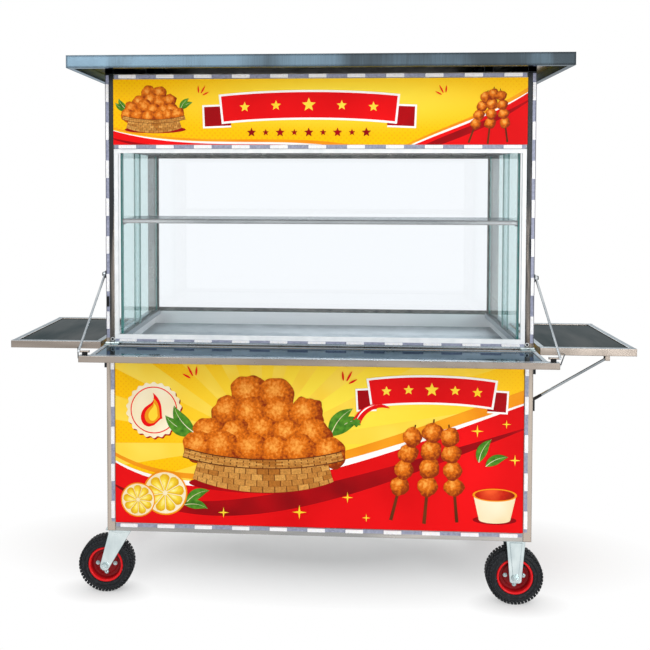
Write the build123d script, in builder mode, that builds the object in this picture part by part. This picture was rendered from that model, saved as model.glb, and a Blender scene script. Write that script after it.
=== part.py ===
from build123d import *
import os

# Street food cart: stainless tube frame on two swivel and two rigid casters,
# glazed display cabinet above a closed cupboard, folding flap and side shelves.
# Millimetres, +X to the right seen from the customer side, +Y to the rear, +Z up.
# The origin is on the floor, in the middle of the whole cart.

# Frame
WIDTH = 1500.0
DEPTH = 580.0
TUBE = 30.0
TUBE_WALL = 1.2
TUBE_CORNER = 2.0
BASE_Z = 244.0
COUNTER_Z = 937.0
CROWN_Z = 1874.0
HEAD_HEIGHT = 263.0

# Fits
FIT = 0.3
RUN = 0.05
SHEET = 1.2
BOARD = 3.0

# Roof
ROOF_OVER_X = 85.0
ROOF_OVER_Y = 140.0
ROOF_HEIGHT = 42.0
ROOF_SHEET = 1.5
ROOF_LIP = 20.0
BEARER_WIDTH = 30.0
BEARER_SPACING = 147.0

# Printed boards
SIGN_LAP_LOW = 15.0
SIGN_LAP_TOP = 11.0
BOARD_SETBACK = 2.0

# Glazing
BEAD = 14.0
BEAD_DEPTH = 12.0
BEAD_SETBACK = 2.0
MITRE_GAP = 0.2
PANE = 5.0
PANE_EDGE = 1.0
REAR_BEAD_DEPTH = 10.0
REAR_PANE_SETBACK = 6.0
SIDE_PANE = 6.0
TRACK_WALL = 2.0
TRACK_SLOT = 9.0
TRACK_FLOOR = 2.0
TRACK_LOW_HEIGHT = 18.0
TRACK_TOP_HEIGHT = 24.0
TRACK_DROP = 12.0
TRACK_RISE = 18.0
PANE_TOP_BITE = 12.0
FIXED_PANE_LENGTH = 235.0
PANE_OVERLAP = 35.0

# Deck, shelf and ceiling
DECK_DROP = 53.0
SHELF_RISE = 426.0
SHELF_DEPTH = 225.0
SHELF_HEM = 16.0
SHELF_FRONT_GAP = 12.0
BRACKET_LENGTH = 34.0
BRACKET_LEG = 20.0
BRACKET_SHEET = 2.0
BRACKET_INSET = 22.0
BOLT_R = 3.0
BOLT_HEAD_R = 6.0
BOLT_HEAD = 3.0
GUSSET_LEG = 50.0
GUSSET_SHEET = 3.0
GUSSET_DROP = 8.0
GUSSET_HOLE_R = 5.0

# Cupboard doors
DOOR_OVERLAP = 30.0
DOOR_THICK = 8.0
DOOR_TRACK_LOW = 10.0
DOOR_TRACK_TOP = 22.0
DOOR_TOP_BITE = 12.0
PULL_LENGTH = 80.0
PULL_WIDTH = 22.0
PULL_INSET = 45.0

# Light strips
STRIP_WIDTH = 12.0
STRIP_THICK = 1.5
STRIP_END = 4.0
COUNTER_STRIP_WIDTH = 8.0
MODULE_LENGTH = 62.0
MODULE_THICK = 3.5
MODULE_PITCH = 134.0
MODULE_CORNER = 2.0

# Customer flap
TABLE_DROP = 18.0
FLAP_TUBE = 22.0
FLAP_SIDE_TUBE = 16.0
FLAP_WALL = 1.2
FLAP_REACH = 182.0
FLAP_GAP = 12.0
FLAP_SIDE = 2.0
FLAP_EAR = 32.0
FLAP_SHEET_DROP = 2.0
HINGE_R = 4.0
HINGE_PIN_R = 2.0
HINGE_LEAF = 2.0
HINGE_LENGTH = 48.0
HINGE_LEAF_REACH = 22.0
HINGE_KNUCKLE_GAP = 0.5
CATCH_WIDTH = 9.0
CATCH_HEIGHT = 36.0
CATCH_THICK = 5.0

# Flap stays
STAY_R = 4.0
STAY_OUT = 8.0
STAY_BACK = 15.0
STAY_RISE = 229.0
STAY_EYE_R = 9.0
STAY_PIN_R = 3.0
STAY_PLATE = 3.0
STAY_PLATE_SIZE = 26.0
STAY_HEAD = 3.0
STAY_HEAD_R = 7.0
STAY_HEAD_GAP = 1.5
STAY_SPREAD = 32.0
STAY_FOOT_REACH = 163.0
STAY_FOOT_RISE = 11.0
STAY_TOE_GAP = 0.4
KEEPER_INSET = 1.0
PAD_LENGTH = 16.0
PAD_WIDTH = 10.0
PAD_BITE = 2.0
LINK_R = 2.0
LINK_SPREAD = 78.0
LINK_GAP = 6.0
LINK_DROP = 10.0

# Side shelves
WING_FRONT = 28.0
WING_DEPTH = 447.0
WING_GAP = 30.0
WING_LENGTH = 331.0
WING_TUBE = 26.0
WING_TUBE_WIDE = 20.0
WING_WALL = 1.2
WING_SHEET_DROP = 3.0
WING_HINGE_OUT = 18.0
WING_HINGE_R = 4.0
WING_HINGE_INSET = 92.0
WING_PIN_R = 2.5
EAR_THICK = 4.0
EAR_SPAN = 32.0
EAR_HEIGHT = 46.0
EAR_PLATE = 2.0
WING_LEAF_REACH = 46.0

# Struts under the side shelves
STRUT_R = 4.5
STRUT_OUT = 244.0
STRUT_DROP = 9.0
STRUT_INSET = 11.0
STRUT_EYE_R = 6.0
STRUT_PIN_R = 3.0
STRUT_EYE_LENGTH = 10.0
CHEEK = 3.0
CHEEK_GAP = 0.5
CHEEK_BITE = 0.8
CHEEK_HALF = 8.0
SOCKET_DROP = 186.0
SOCKET_OUT = 9.0
SOCKET_HEIGHT = 44.0
SOCKET_REACH = 16.0
SOCKET_PLATE = 2.5
HOOK_DROP = 20.0

# Small rest blocks on the front posts
REST_DROP = 87.0
REST_HEIGHT = 22.0
REST_WIDTH = 12.0
REST_REACH = 9.0
REST_INSET = 4.0

# Casters
WHEEL_R = 100.0
TYRE_WIDTH = 50.0
TYRE_ROUND = 13.0
RIM_R = 63.5
RIM_WIDTH = 38.0
RIM_LIP = 8.0
WEB_THICK = 6.0
HUB_R = 18.0
HUB_LENGTH = 52.0
AXLE_R = 6.0
AXLE_HEAD_R = 10.0
AXLE_HEAD = 6.0
RIM_BOLTS = 4
RIM_BOLT_RING = 32.0
RIM_BOLT_R = 3.0
RIM_BOLT_HEAD_R = 5.5
RIM_BOLT_HEAD = 4.0
LEG_THICK = 4.0
LEG_GAP = 2.0
SWIVEL_TOP = 78.0
SWIVEL_END_R = 17.0
RIGID_TOP = 66.0
RIGID_END = 41.0
RIGID_END_CORNER = 10.0
RIGID_END_DROP = 17.0
RIB_INSET = 12.0
RIB_LIFT = 1.5
CASTER_PLATE = 4.0
CASTER_PLATE_SIZE = 94.0
CASTER_INSET_Y = 55.0
SWIVEL_INSET_X = 38.0
SWIVEL_TRAIL = 57.0
RIGID_INSET_X = 47.0
CROWN_R = 43.0
CROWN_THICK = 10.5
CROWN_GAP = 0.5
KINGPIN_R = 8.0
KINGPIN_NUT_R = 12.0
KINGPIN_NUT = 7.0

# Places worked out from the sizes above
HALF = WIDTH / 2
INNER = HALF - TUBE
FRONT_REACH = max(FLAP_REACH, ROOF_OVER_Y)
FRONT_Y = (FRONT_REACH - DEPTH - ROOF_OVER_Y) / 2
REAR_Y = FRONT_Y + DEPTH
FRONT_IN = FRONT_Y + TUBE
REAR_IN = REAR_Y - TUBE
BASE_TOP = BASE_Z + TUBE
COUNTER_LOW = COUNTER_Z - TUBE
LINTEL_Z = CROWN_Z - HEAD_HEIGHT
LINTEL_TOP = LINTEL_Z + TUBE
CROWN_LOW = CROWN_Z - TUBE
SIGN_BOTTOM = LINTEL_Z + SIGN_LAP_LOW
SIGN_TOP = CROWN_LOW + SIGN_LAP_TOP
TABLE_TOP = COUNTER_Z - TABLE_DROP
SHELF_Z = COUNTER_Z + SHELF_RISE
STAY_TOP_Z = COUNTER_Z + STAY_RISE
SOCKET_Z = TABLE_TOP - SOCKET_DROP
REST_Z = TABLE_TOP - REST_DROP
SIDES = (-1, 1)

os.makedirs("parts", exist_ok=True)


def slab(x_span, y_span, z_span, mode=Mode.ADD):
    """A box between two places on each axis."""
    middle = tuple((low + high) / 2 for low, high in (x_span, y_span, z_span))
    size = tuple(abs(high - low) for low, high in (x_span, y_span, z_span))
    with Locations(middle):
        Box(*size, mode=mode)


def mirrored(side, near, far):
    """A span in X measured outwards from the middle, on one side."""
    return (side * near, side * far)


def tube(x_span, y_span, z_span, along, wall, capped=False):
    """A box section tube with rounded corners along one axis, with open or capped ends."""
    spans = {"x": x_span, "y": y_span, "z": z_span}
    low = {axis: min(span) for axis, span in spans.items()}
    size = {axis: max(span) - min(span) for axis, span in spans.items()}
    across, upward = {"x": ("y", "z"), "y": ("z", "x"), "z": ("x", "y")}[along]
    middle = {axis: low[axis] + size[axis] / 2 for axis in spans}
    middle[along] = low[along]
    compass = {"x": (1, 0, 0), "y": (0, 1, 0), "z": (0, 0, 1)}
    origin = (middle["x"], middle["y"], middle["z"])
    section = Plane(origin=origin, x_dir=compass[across], z_dir=compass[along])
    cap = wall if capped else 0
    with BuildSketch(section) as outside:
        RectangleRounded(size[across], size[upward], TUBE_CORNER)
    extrude(outside.sketch, amount=size[along])
    with BuildSketch(section.offset(cap)) as hollow:
        RectangleRounded(size[across] - 2 * wall, size[upward] - 2 * wall, TUBE_CORNER - wall)
    extrude(hollow.sketch, amount=size[along] - 2 * cap, mode=Mode.SUBTRACT)


def rod(start, end, radius):
    """A round bar between two points."""
    middle = (start + end) * 0.5
    with Locations(Plane(origin=middle, z_dir=end - start)):
        Cylinder(radius, (end - start).length)


def rail_ring(z_low, z_high):
    """Four rails between the posts at one level."""
    for y_span in ((FRONT_Y, FRONT_IN), (REAR_IN, REAR_Y)):
        tube((-INNER, INNER), y_span, (z_low, z_high), "x", TUBE_WALL)
    for side in SIDES:
        tube(mirrored(side, INNER, HALF), (FRONT_IN, REAR_IN), (z_low, z_high), "y", TUBE_WALL)


def save(builder, name):
    """Label a finished piece and write its file."""
    builder.part.label = name
    export_step(builder.part, f"parts/{name}.step")


def plane_xz(y):
    """An upright plane across the cart, local x to the right and local y up."""
    return Plane(origin=(0, y, 0), x_dir=(1, 0, 0), z_dir=(0, -1, 0))


# Frame tubes
with BuildPart() as corner_posts:
    for side in SIDES:
        for y_span in ((FRONT_Y, FRONT_IN), (REAR_IN, REAR_Y)):
            tube(mirrored(side, INNER, HALF), y_span, (BASE_Z, CROWN_Z), "z", TUBE_WALL)
save(corner_posts, "corner_posts")

with BuildPart() as base_rails:
    rail_ring(BASE_Z, BASE_TOP)
save(base_rails, "base_rails")

with BuildPart() as counter_rails:
    rail_ring(COUNTER_LOW, COUNTER_Z)
save(counter_rails, "counter_rails")

with BuildPart() as lintel_rails:
    rail_ring(LINTEL_Z, LINTEL_TOP)
save(lintel_rails, "lintel_rails")

with BuildPart() as crown_rails:
    rail_ring(CROWN_LOW, CROWN_Z)
save(crown_rails, "crown_rails")

# Cupboard floor and boards
FLOOR_LAP = TUBE / 2
with BuildPart() as base_floor:
    floor_x = INNER + FLOOR_LAP
    slab((-floor_x, floor_x), (FRONT_IN + FIT, REAR_IN - FIT), (BASE_TOP, BASE_TOP + SHEET))
save(base_floor, "base_floor")

PANEL_X = INNER - FIT
with BuildPart() as front_panel:
    y_face = FRONT_Y + BOARD_SETBACK
    slab((-PANEL_X, PANEL_X), (y_face, y_face + BOARD), (BASE_TOP + FIT, COUNTER_LOW - FIT))
save(front_panel, "front_panel")

PANEL_OUT = HALF - BOARD_SETBACK
with BuildPart() as side_panels:
    for side in SIDES:
        x_span = mirrored(side, PANEL_OUT - BOARD, PANEL_OUT)
        slab(x_span, (FRONT_IN + FIT, REAR_IN - FIT), (BASE_TOP + FIT, COUNTER_LOW - FIT))
save(side_panels, "side_panels")

# Printed sign box around the head of the cart
with BuildPart() as sign_panel:
    slab((-PANEL_X, PANEL_X), (FRONT_Y - BOARD, FRONT_Y), (SIGN_BOTTOM, SIGN_TOP))
save(sign_panel, "sign_panel")

with BuildPart() as side_signs:
    for side in SIDES:
        slab(mirrored(side, HALF, HALF + BOARD), (FRONT_IN, REAR_IN), (SIGN_BOTTOM, SIGN_TOP))
save(side_signs, "side_signs")

with BuildPart() as sign_back:
    slab((-PANEL_X, PANEL_X), (REAR_Y, REAR_Y + SHEET), (SIGN_BOTTOM, SIGN_TOP))
save(sign_back, "sign_back")

# Ceiling of the cabinet and the corner plates below it
with BuildPart() as ceiling_panel:
    slab((-PANEL_X, PANEL_X), (FRONT_Y + BOARD, REAR_Y - BOARD), (LINTEL_TOP, LINTEL_TOP + SHEET))
save(ceiling_panel, "ceiling_panel")

with BuildPart() as corner_gussets:
    with BuildSketch(Plane.XY.offset(LINTEL_TOP - GUSSET_DROP - GUSSET_SHEET)):
        for side in SIDES:
            for y_corner, way in ((FRONT_IN, 1), (REAR_IN, -1)):
                corner = (side * INNER, y_corner)
                along_x = (side * (INNER - GUSSET_LEG), y_corner)
                along_y = (side * INNER, y_corner + way * GUSSET_LEG)
                Polygon(corner, along_x, along_y, align=None)
                hole = (side * (INNER - GUSSET_LEG / 3), y_corner + way * GUSSET_LEG / 3)
                with Locations(hole):
                    Circle(GUSSET_HOLE_R, mode=Mode.SUBTRACT)
    extrude(amount=GUSSET_SHEET)
save(corner_gussets, "corner_gussets")

# Roof
ROOF_X = HALF + ROOF_OVER_X
ROOF_FRONT = FRONT_Y - ROOF_OVER_Y
ROOF_REAR = REAR_Y + ROOF_OVER_Y
ROOF_TOP = CROWN_Z + ROOF_HEIGHT
with BuildPart() as roof_cover:
    slab((-ROOF_X, ROOF_X), (ROOF_FRONT, ROOF_REAR), (CROWN_Z, ROOF_TOP))
    inside_x = ROOF_X - ROOF_SHEET
    inside_y = (ROOF_FRONT + ROOF_SHEET, ROOF_REAR - ROOF_SHEET)
    slab((-inside_x, inside_x), inside_y, (CROWN_Z + ROOF_SHEET, ROOF_TOP - ROOF_SHEET), mode=Mode.SUBTRACT)
    mouth_x = ROOF_X - ROOF_LIP
    mouth_y = (ROOF_FRONT + ROOF_LIP, ROOF_REAR - ROOF_LIP)
    slab((-mouth_x, mouth_x), mouth_y, (CROWN_Z, CROWN_Z + ROOF_SHEET), mode=Mode.SUBTRACT)
save(roof_cover, "roof_cover")

SOFFIT_X = ROOF_X - ROOF_SHEET - FIT
SOFFIT_Y = (ROOF_FRONT + ROOF_SHEET + FIT, ROOF_REAR - ROOF_SHEET - FIT)
SOFFIT_Z = (ROOF_TOP - ROOF_SHEET - SHEET, ROOF_TOP - ROOF_SHEET)
with BuildPart() as roof_soffit:
    slab((-SOFFIT_X, SOFFIT_X), SOFFIT_Y, SOFFIT_Z)
save(roof_soffit, "roof_soffit")

BEARER_OUT = HALF - TUBE / 2
with BuildPart() as roof_bearers:
    for x_mid in (-BEARER_OUT, BEARER_SPACING - BEARER_OUT, BEARER_OUT - BEARER_SPACING, BEARER_OUT):
        x_span = (x_mid - BEARER_WIDTH / 2, x_mid + BEARER_WIDTH / 2)
        tube(x_span, (FRONT_Y, REAR_Y), (CROWN_Z, SOFFIT_Z[0]), "y", TUBE_WALL)
save(roof_bearers, "roof_bearers")


# Glazing beads with mitred corners, round the front and the rear opening
def bead_ring(y_from, depth):
    """Four mitred beads inside the opening between posts, counter and lintel."""
    mid_z = (COUNTER_Z + LINTEL_Z) / 2
    tall = (LINTEL_Z - COUNTER_Z) / 2
    with BuildSketch(plane_xz(y_from + depth)) as ring:
        with Locations((0, mid_z)):
            Rectangle(2 * INNER, 2 * tall)
            Rectangle(2 * (INNER - BEAD), 2 * (tall - BEAD), mode=Mode.SUBTRACT)
        for side in SIDES:
            for way in SIDES:
                corner = (side * (INNER - BEAD / 2), mid_z + way * (tall - BEAD / 2))
                with Locations(corner):
                    Rectangle(2 * BEAD, MITRE_GAP, rotation=45 * side * way, mode=Mode.SUBTRACT)
    extrude(ring.sketch, amount=depth)


FRONT_BEAD_Y = FRONT_Y + BEAD_SETBACK
FRONT_PANE_Y = FRONT_BEAD_Y + BEAD_DEPTH
REAR_PANE_Y = REAR_IN + REAR_PANE_SETBACK
with BuildPart() as glazing_beads:
    bead_ring(FRONT_BEAD_Y, BEAD_DEPTH)
    bead_ring(REAR_PANE_Y + PANE, REAR_BEAD_DEPTH)
save(glazing_beads, "glazing_beads")

PANE_X = INNER - PANE_EDGE
PANE_Z = (COUNTER_Z + FIT, LINTEL_Z - PANE_EDGE)
with BuildPart() as front_glass:
    slab((-PANE_X, PANE_X), (FRONT_PANE_Y, FRONT_PANE_Y + PANE), PANE_Z)
save(front_glass, "front_glass")

with BuildPart() as rear_glass:
    slab((-PANE_X, PANE_X), (REAR_PANE_Y, REAR_PANE_Y + PANE), PANE_Z)
save(rear_glass, "rear_glass")

# Double channels: each side of the cabinet and the rear of the cupboard
TRACK_WIDTH = 3 * TRACK_WALL + 2 * TRACK_SLOT
TRACK_IN = INNER - TRACK_WIDTH
OUTER_SLOT = INNER - TRACK_WALL - TRACK_SLOT / 2
INNER_SLOT = OUTER_SLOT - TRACK_SLOT - TRACK_WALL
TRACK_Y = (FRONT_IN, REAR_IN)
SIDE_LOW = COUNTER_Z - TRACK_DROP
SIDE_TOP = LINTEL_Z + TRACK_RISE
DOOR_LOW = BASE_TOP
DOOR_TOP = COUNTER_LOW
DOOR_TRACK_Y = (REAR_Y - (TUBE + TRACK_WIDTH) / 2, REAR_Y - (TUBE - TRACK_WIDTH) / 2)
DOOR_OUTER_Y = DOOR_TRACK_Y[1] - TRACK_WALL - TRACK_SLOT / 2
DOOR_INNER_Y = DOOR_TRACK_Y[0] + TRACK_WALL + TRACK_SLOT / 2
with BuildPart() as sliding_tracks:
    for side in SIDES:
        slab(mirrored(side, TRACK_IN, INNER), TRACK_Y, (SIDE_LOW, SIDE_LOW + TRACK_LOW_HEIGHT))
        slab(mirrored(side, TRACK_IN, INNER), TRACK_Y, (SIDE_TOP - TRACK_TOP_HEIGHT, SIDE_TOP))
        for slot in (OUTER_SLOT, INNER_SLOT):
            x_span = mirrored(side, slot - TRACK_SLOT / 2, slot + TRACK_SLOT / 2)
            low_slot = (SIDE_LOW + TRACK_FLOOR, SIDE_LOW + TRACK_LOW_HEIGHT)
            top_slot = (SIDE_TOP - TRACK_TOP_HEIGHT, SIDE_TOP - TRACK_FLOOR)
            slab(x_span, TRACK_Y, low_slot, mode=Mode.SUBTRACT)
            slab(x_span, TRACK_Y, top_slot, mode=Mode.SUBTRACT)
    slab((-PANEL_X, PANEL_X), DOOR_TRACK_Y, (DOOR_LOW, DOOR_LOW + DOOR_TRACK_LOW))
    slab((-PANEL_X, PANEL_X), DOOR_TRACK_Y, (DOOR_TOP - DOOR_TRACK_TOP, DOOR_TOP))
    for slot in (DOOR_OUTER_Y, DOOR_INNER_Y):
        y_span = (slot - TRACK_SLOT / 2, slot + TRACK_SLOT / 2)
        low_slot = (DOOR_LOW + TRACK_FLOOR, DOOR_LOW + DOOR_TRACK_LOW)
        top_slot = (DOOR_TOP - DOOR_TRACK_TOP, DOOR_TOP - TRACK_FLOOR)
        slab((-PANEL_X, PANEL_X), y_span, low_slot, mode=Mode.SUBTRACT)
        slab((-PANEL_X, PANEL_X), y_span, top_slot, mode=Mode.SUBTRACT)
save(sliding_tracks, "sliding_tracks")

# Side panes: the front one is fixed in the inner slot, the rear one slides in the outer slot
SIDE_PANE_Z = (SIDE_LOW + TRACK_FLOOR + FIT, SIDE_TOP - TRACK_TOP_HEIGHT + PANE_TOP_BITE)
FIXED_PANE_Y = (TRACK_Y[0], TRACK_Y[0] + FIXED_PANE_LENGTH)
SLIDING_PANE_Y = (FIXED_PANE_Y[1] - PANE_OVERLAP, TRACK_Y[1])
FIXED_PANE_IN = INNER_SLOT - SIDE_PANE / 2
SHELF_FRONT_Y = FRONT_PANE_Y + PANE + SHELF_FRONT_GAP
SHELF_REAR_Y = SHELF_FRONT_Y + SHELF_DEPTH
BRACKET_TOP = SHELF_Z - SHEET
BRACKET_SPOTS = (SHELF_FRONT_Y + BRACKET_INSET, SHELF_REAR_Y - BRACKET_INSET)
BOLT_Z = BRACKET_TOP - BRACKET_LEG / 2
with BuildPart() as fixed_side_panes:
    for side in SIDES:
        slab(mirrored(side, FIXED_PANE_IN, FIXED_PANE_IN + SIDE_PANE), FIXED_PANE_Y, SIDE_PANE_Z)
        for y_spot in BRACKET_SPOTS:
            with Locations((side * INNER_SLOT, y_spot, BOLT_Z)):
                Cylinder(BOLT_R + FIT, 2 * SIDE_PANE, rotation=(0, 90, 0), mode=Mode.SUBTRACT)
save(fixed_side_panes, "fixed_side_panes")

for side, name in ((-1, "left_sliding_pane"), (1, "right_sliding_pane")):
    with BuildPart() as sliding_pane:
        x_span = mirrored(side, OUTER_SLOT - SIDE_PANE / 2, OUTER_SLOT + SIDE_PANE / 2)
        slab(x_span, SLIDING_PANE_Y, SIDE_PANE_Z)
    save(sliding_pane, name)

# Shelf in the cabinet: a steel sheet with turned-down edges on brackets bolted through the glass
SHELF_X = FIXED_PANE_IN - PANE_EDGE
with BuildPart() as display_shelf:
    slab((-SHELF_X, SHELF_X), (SHELF_FRONT_Y, SHELF_REAR_Y), (SHELF_Z - SHELF_HEM, SHELF_Z))
    pocket_y = (SHELF_FRONT_Y + SHEET, SHELF_REAR_Y - SHEET)
    slab((-SHELF_X, SHELF_X), pocket_y, (SHELF_Z - SHELF_HEM, SHELF_Z - SHEET), mode=Mode.SUBTRACT)
save(display_shelf, "display_shelf")

with BuildPart() as shelf_brackets:
    for side in SIDES:
        for y_spot in BRACKET_SPOTS:
            y_span = (y_spot - BRACKET_LENGTH / 2, y_spot + BRACKET_LENGTH / 2)
            leaf = mirrored(side, FIXED_PANE_IN - BRACKET_SHEET, FIXED_PANE_IN)
            ledge = mirrored(side, FIXED_PANE_IN - BRACKET_LEG, FIXED_PANE_IN)
            slab(leaf, y_span, (BRACKET_TOP - BRACKET_LEG, BRACKET_TOP))
            slab(ledge, y_span, (BRACKET_TOP - BRACKET_SHEET, BRACKET_TOP))
            with Locations((side * FIXED_PANE_IN, y_spot, BOLT_Z)):
                Cylinder(BOLT_R + FIT, 2 * BRACKET_LEG, rotation=(0, 90, 0), mode=Mode.SUBTRACT)
save(shelf_brackets, "shelf_brackets")

with BuildPart() as shelf_bolts:
    for side in SIDES:
        grip_in = FIXED_PANE_IN - BRACKET_SHEET
        grip_out = FIXED_PANE_IN + SIDE_PANE
        for y_spot in BRACKET_SPOTS:
            shank_mid = (grip_in + grip_out) / 2
            with Locations((side * shank_mid, y_spot, BOLT_Z)):
                Cylinder(BOLT_R, grip_out - grip_in + BOLT_HEAD, rotation=(0, 90, 0))
            for x_head in (grip_in - BOLT_HEAD / 2, grip_out + BOLT_HEAD / 2):
                with Locations((side * x_head, y_spot, BOLT_Z)):
                    Cylinder(BOLT_HEAD_R, BOLT_HEAD, rotation=(0, 90, 0))
save(shelf_bolts, "shelf_bolts")

# Recessed deck tray of the cabinet
DECK_Z = COUNTER_Z - DECK_DROP
with BuildPart() as deck_tray:
    slab((-PANEL_X, PANEL_X), (FRONT_IN, REAR_IN), (DECK_Z - SHEET, COUNTER_Z))
    hollow_y = (FRONT_IN + SHEET, REAR_IN - SHEET)
    hollow_x = PANEL_X - SHEET
    slab((-hollow_x, hollow_x), hollow_y, (DECK_Z, COUNTER_Z), mode=Mode.SUBTRACT)
    for side in SIDES:
        cut_x = mirrored(side, TRACK_IN - FIT, HALF)
        slab(cut_x, (FRONT_IN, REAR_IN), (SIDE_LOW - FIT, COUNTER_Z), mode=Mode.SUBTRACT)
save(deck_tray, "deck_tray")

# Sliding cupboard doors: folded steel pans with a finger slot
DOOR_WIDTH = PANEL_X + DOOR_OVERLAP / 2
DOOR_Z = (DOOR_LOW + TRACK_FLOOR + FIT, DOOR_TOP - DOOR_TRACK_TOP + DOOR_TOP_BITE)
DOOR_MID_Z = (DOOR_Z[0] + DOOR_Z[1]) / 2
for side, name, y_mid in ((-1, "left_door", DOOR_OUTER_Y), (1, "right_door", DOOR_INNER_Y)):
    with BuildPart() as door:
        x_out = side * PANEL_X
        x_end = side * (PANEL_X - DOOR_WIDTH)
        y_span = (y_mid - DOOR_THICK / 2, y_mid + DOOR_THICK / 2)
        slab((x_end, x_out), y_span, DOOR_Z)
        pan_x = (x_end + side * SHEET, x_out - side * SHEET)
        pan_z = (DOOR_Z[0] + SHEET, DOOR_Z[1] - SHEET)
        slab(pan_x, (y_span[0], y_span[1] - SHEET), pan_z, mode=Mode.SUBTRACT)
        x_pull = x_out - side * PULL_INSET
        with BuildSketch(plane_xz(y_span[1])):
            with Locations((x_pull, DOOR_MID_Z)):
                SlotOverall(PULL_LENGTH, PULL_WIDTH, rotation=90)
        extrude(amount=DOOR_THICK, mode=Mode.SUBTRACT)
    save(door, name)

# Light strips on the front faces of the frame, with moulded light modules
OUT_LINE = HALF - TUBE / 4
IN_LINE = INNER + TUBE / 4
HINGE_Y = FRONT_Y - HINGE_R - FIT
HINGE_Z = TABLE_TOP + HINGE_R
COUNTER_STRIP_Z = COUNTER_Z - COUNTER_STRIP_WIDTH / 2 - FIT
SIGN_STRIP_Z = (LINTEL_Z + SIGN_BOTTOM) / 2
CROWN_STRIP_Z = (SIGN_TOP + CROWN_Z) / 2
BASE_STRIP_Z = BASE_TOP - TUBE / 4
LEVEL_STRIPS = (
    (BASE_STRIP_Z, STRIP_WIDTH),
    (COUNTER_STRIP_Z, COUNTER_STRIP_WIDTH),
    (SIGN_STRIP_Z, STRIP_WIDTH),
    (CROWN_STRIP_Z, STRIP_WIDTH),
)
UPRIGHT_STRIPS = (
    (OUT_LINE, COUNTER_Z + STRIP_END, CROWN_Z - STRIP_END),
    (IN_LINE, BASE_TOP + STRIP_END, COUNTER_LOW - STRIP_END),
)
LEVEL_HALF = INNER - STRIP_END


def module_row(low, high):
    """Middles of the light modules along one strip, centred on it."""
    count = int((high - low - MODULE_LENGTH) // MODULE_PITCH) + 1
    start = (low + high) / 2 - (count - 1) * MODULE_PITCH / 2
    return [start + number * MODULE_PITCH for number in range(count)]


with BuildPart() as light_strips:
    y_span = (FRONT_Y - STRIP_THICK, FRONT_Y)
    for z_mid, width in LEVEL_STRIPS:
        slab((-LEVEL_HALF, LEVEL_HALF), y_span, (z_mid - width / 2, z_mid + width / 2))
    for side in SIDES:
        for x_mid, z_low, z_high in UPRIGHT_STRIPS:
            x_span = (side * x_mid - STRIP_WIDTH / 2, side * x_mid + STRIP_WIDTH / 2)
            slab(x_span, y_span, (z_low, z_high))
save(light_strips, "light_strips")

with BuildPart() as light_modules:
    with BuildSketch(plane_xz(FRONT_Y - STRIP_THICK)):
        for z_mid, width in LEVEL_STRIPS:
            for x_mid in module_row(-LEVEL_HALF, LEVEL_HALF):
                with Locations((x_mid, z_mid)):
                    RectangleRounded(MODULE_LENGTH, width, MODULE_CORNER)
        for side in SIDES:
            for x_mid, z_low, z_high in UPRIGHT_STRIPS:
                for z_mid in module_row(z_low, z_high):
                    with Locations((side * x_mid, z_mid)):
                        RectangleRounded(STRIP_WIDTH, MODULE_LENGTH, MODULE_CORNER)
    extrude(amount=MODULE_THICK)
save(light_modules, "light_modules")

# Spring catch that holds the raised flap, on the left post above the lowest module
CATCH_Y = FRONT_Y - STRIP_THICK
CATCH_Z = module_row(*UPRIGHT_STRIPS[0][1:])[0] + MODULE_PITCH / 2
with BuildPart() as flap_catch:
    catch_x = (-OUT_LINE - CATCH_WIDTH / 2, -OUT_LINE + CATCH_WIDTH / 2)
    catch_z = (CATCH_Z - CATCH_HEIGHT / 2, CATCH_Z + CATCH_HEIGHT / 2)
    slab(catch_x, (CATCH_Y - CATCH_THICK, CATCH_Y), catch_z)
    hollow_z = (CATCH_Z - CATCH_HEIGHT / 2 + CATCH_WIDTH, CATCH_Z + CATCH_HEIGHT / 2 - CATCH_WIDTH)
    slab(catch_x, (CATCH_Y - CATCH_THICK, CATCH_Y - CATCH_THICK / 2), hollow_z, mode=Mode.SUBTRACT)
save(flap_catch, "flap_catch")

# Customer flap: tube frame with a sheet let in, on butt hinges; a keeper rod lies on a pad at each end
FLAP_X = HALF + FLAP_SIDE
FLAP_FRONT = FRONT_Y - FLAP_REACH
FLAP_REAR = FRONT_Y - FLAP_GAP
FLAP_Z = (TABLE_TOP - FLAP_TUBE, TABLE_TOP)
FLAP_FRONT_IN = FLAP_FRONT + FLAP_TUBE
FLAP_REAR_IN = FLAP_REAR - FLAP_SIDE_TUBE
FLAP_END = FLAP_X + FLAP_EAR
KEEPER_IN = FLAP_X + KEEPER_INSET
FOOT_Y = FRONT_Y - STAY_FOOT_REACH
FOOT_Z = TABLE_TOP + STAY_FOOT_RISE
with BuildPart() as flap_frame:
    tube((-FLAP_END, FLAP_END), (FLAP_FRONT, FLAP_FRONT_IN), FLAP_Z, "x", FLAP_WALL, capped=True)
    tube((-FLAP_X, FLAP_X), (FLAP_REAR_IN, FLAP_REAR), FLAP_Z, "x", FLAP_WALL, capped=True)
    for side in SIDES:
        end_x = mirrored(side, FLAP_X - FLAP_SIDE_TUBE, FLAP_X)
        tube(end_x, (FLAP_FRONT_IN, FLAP_REAR_IN), FLAP_Z, "y", FLAP_WALL)
        rod(Vector(side * KEEPER_IN, FOOT_Y, FOOT_Z), Vector(side * FLAP_END, FOOT_Y, FOOT_Z), STAY_R)
save(flap_frame, "flap_frame")

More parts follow.
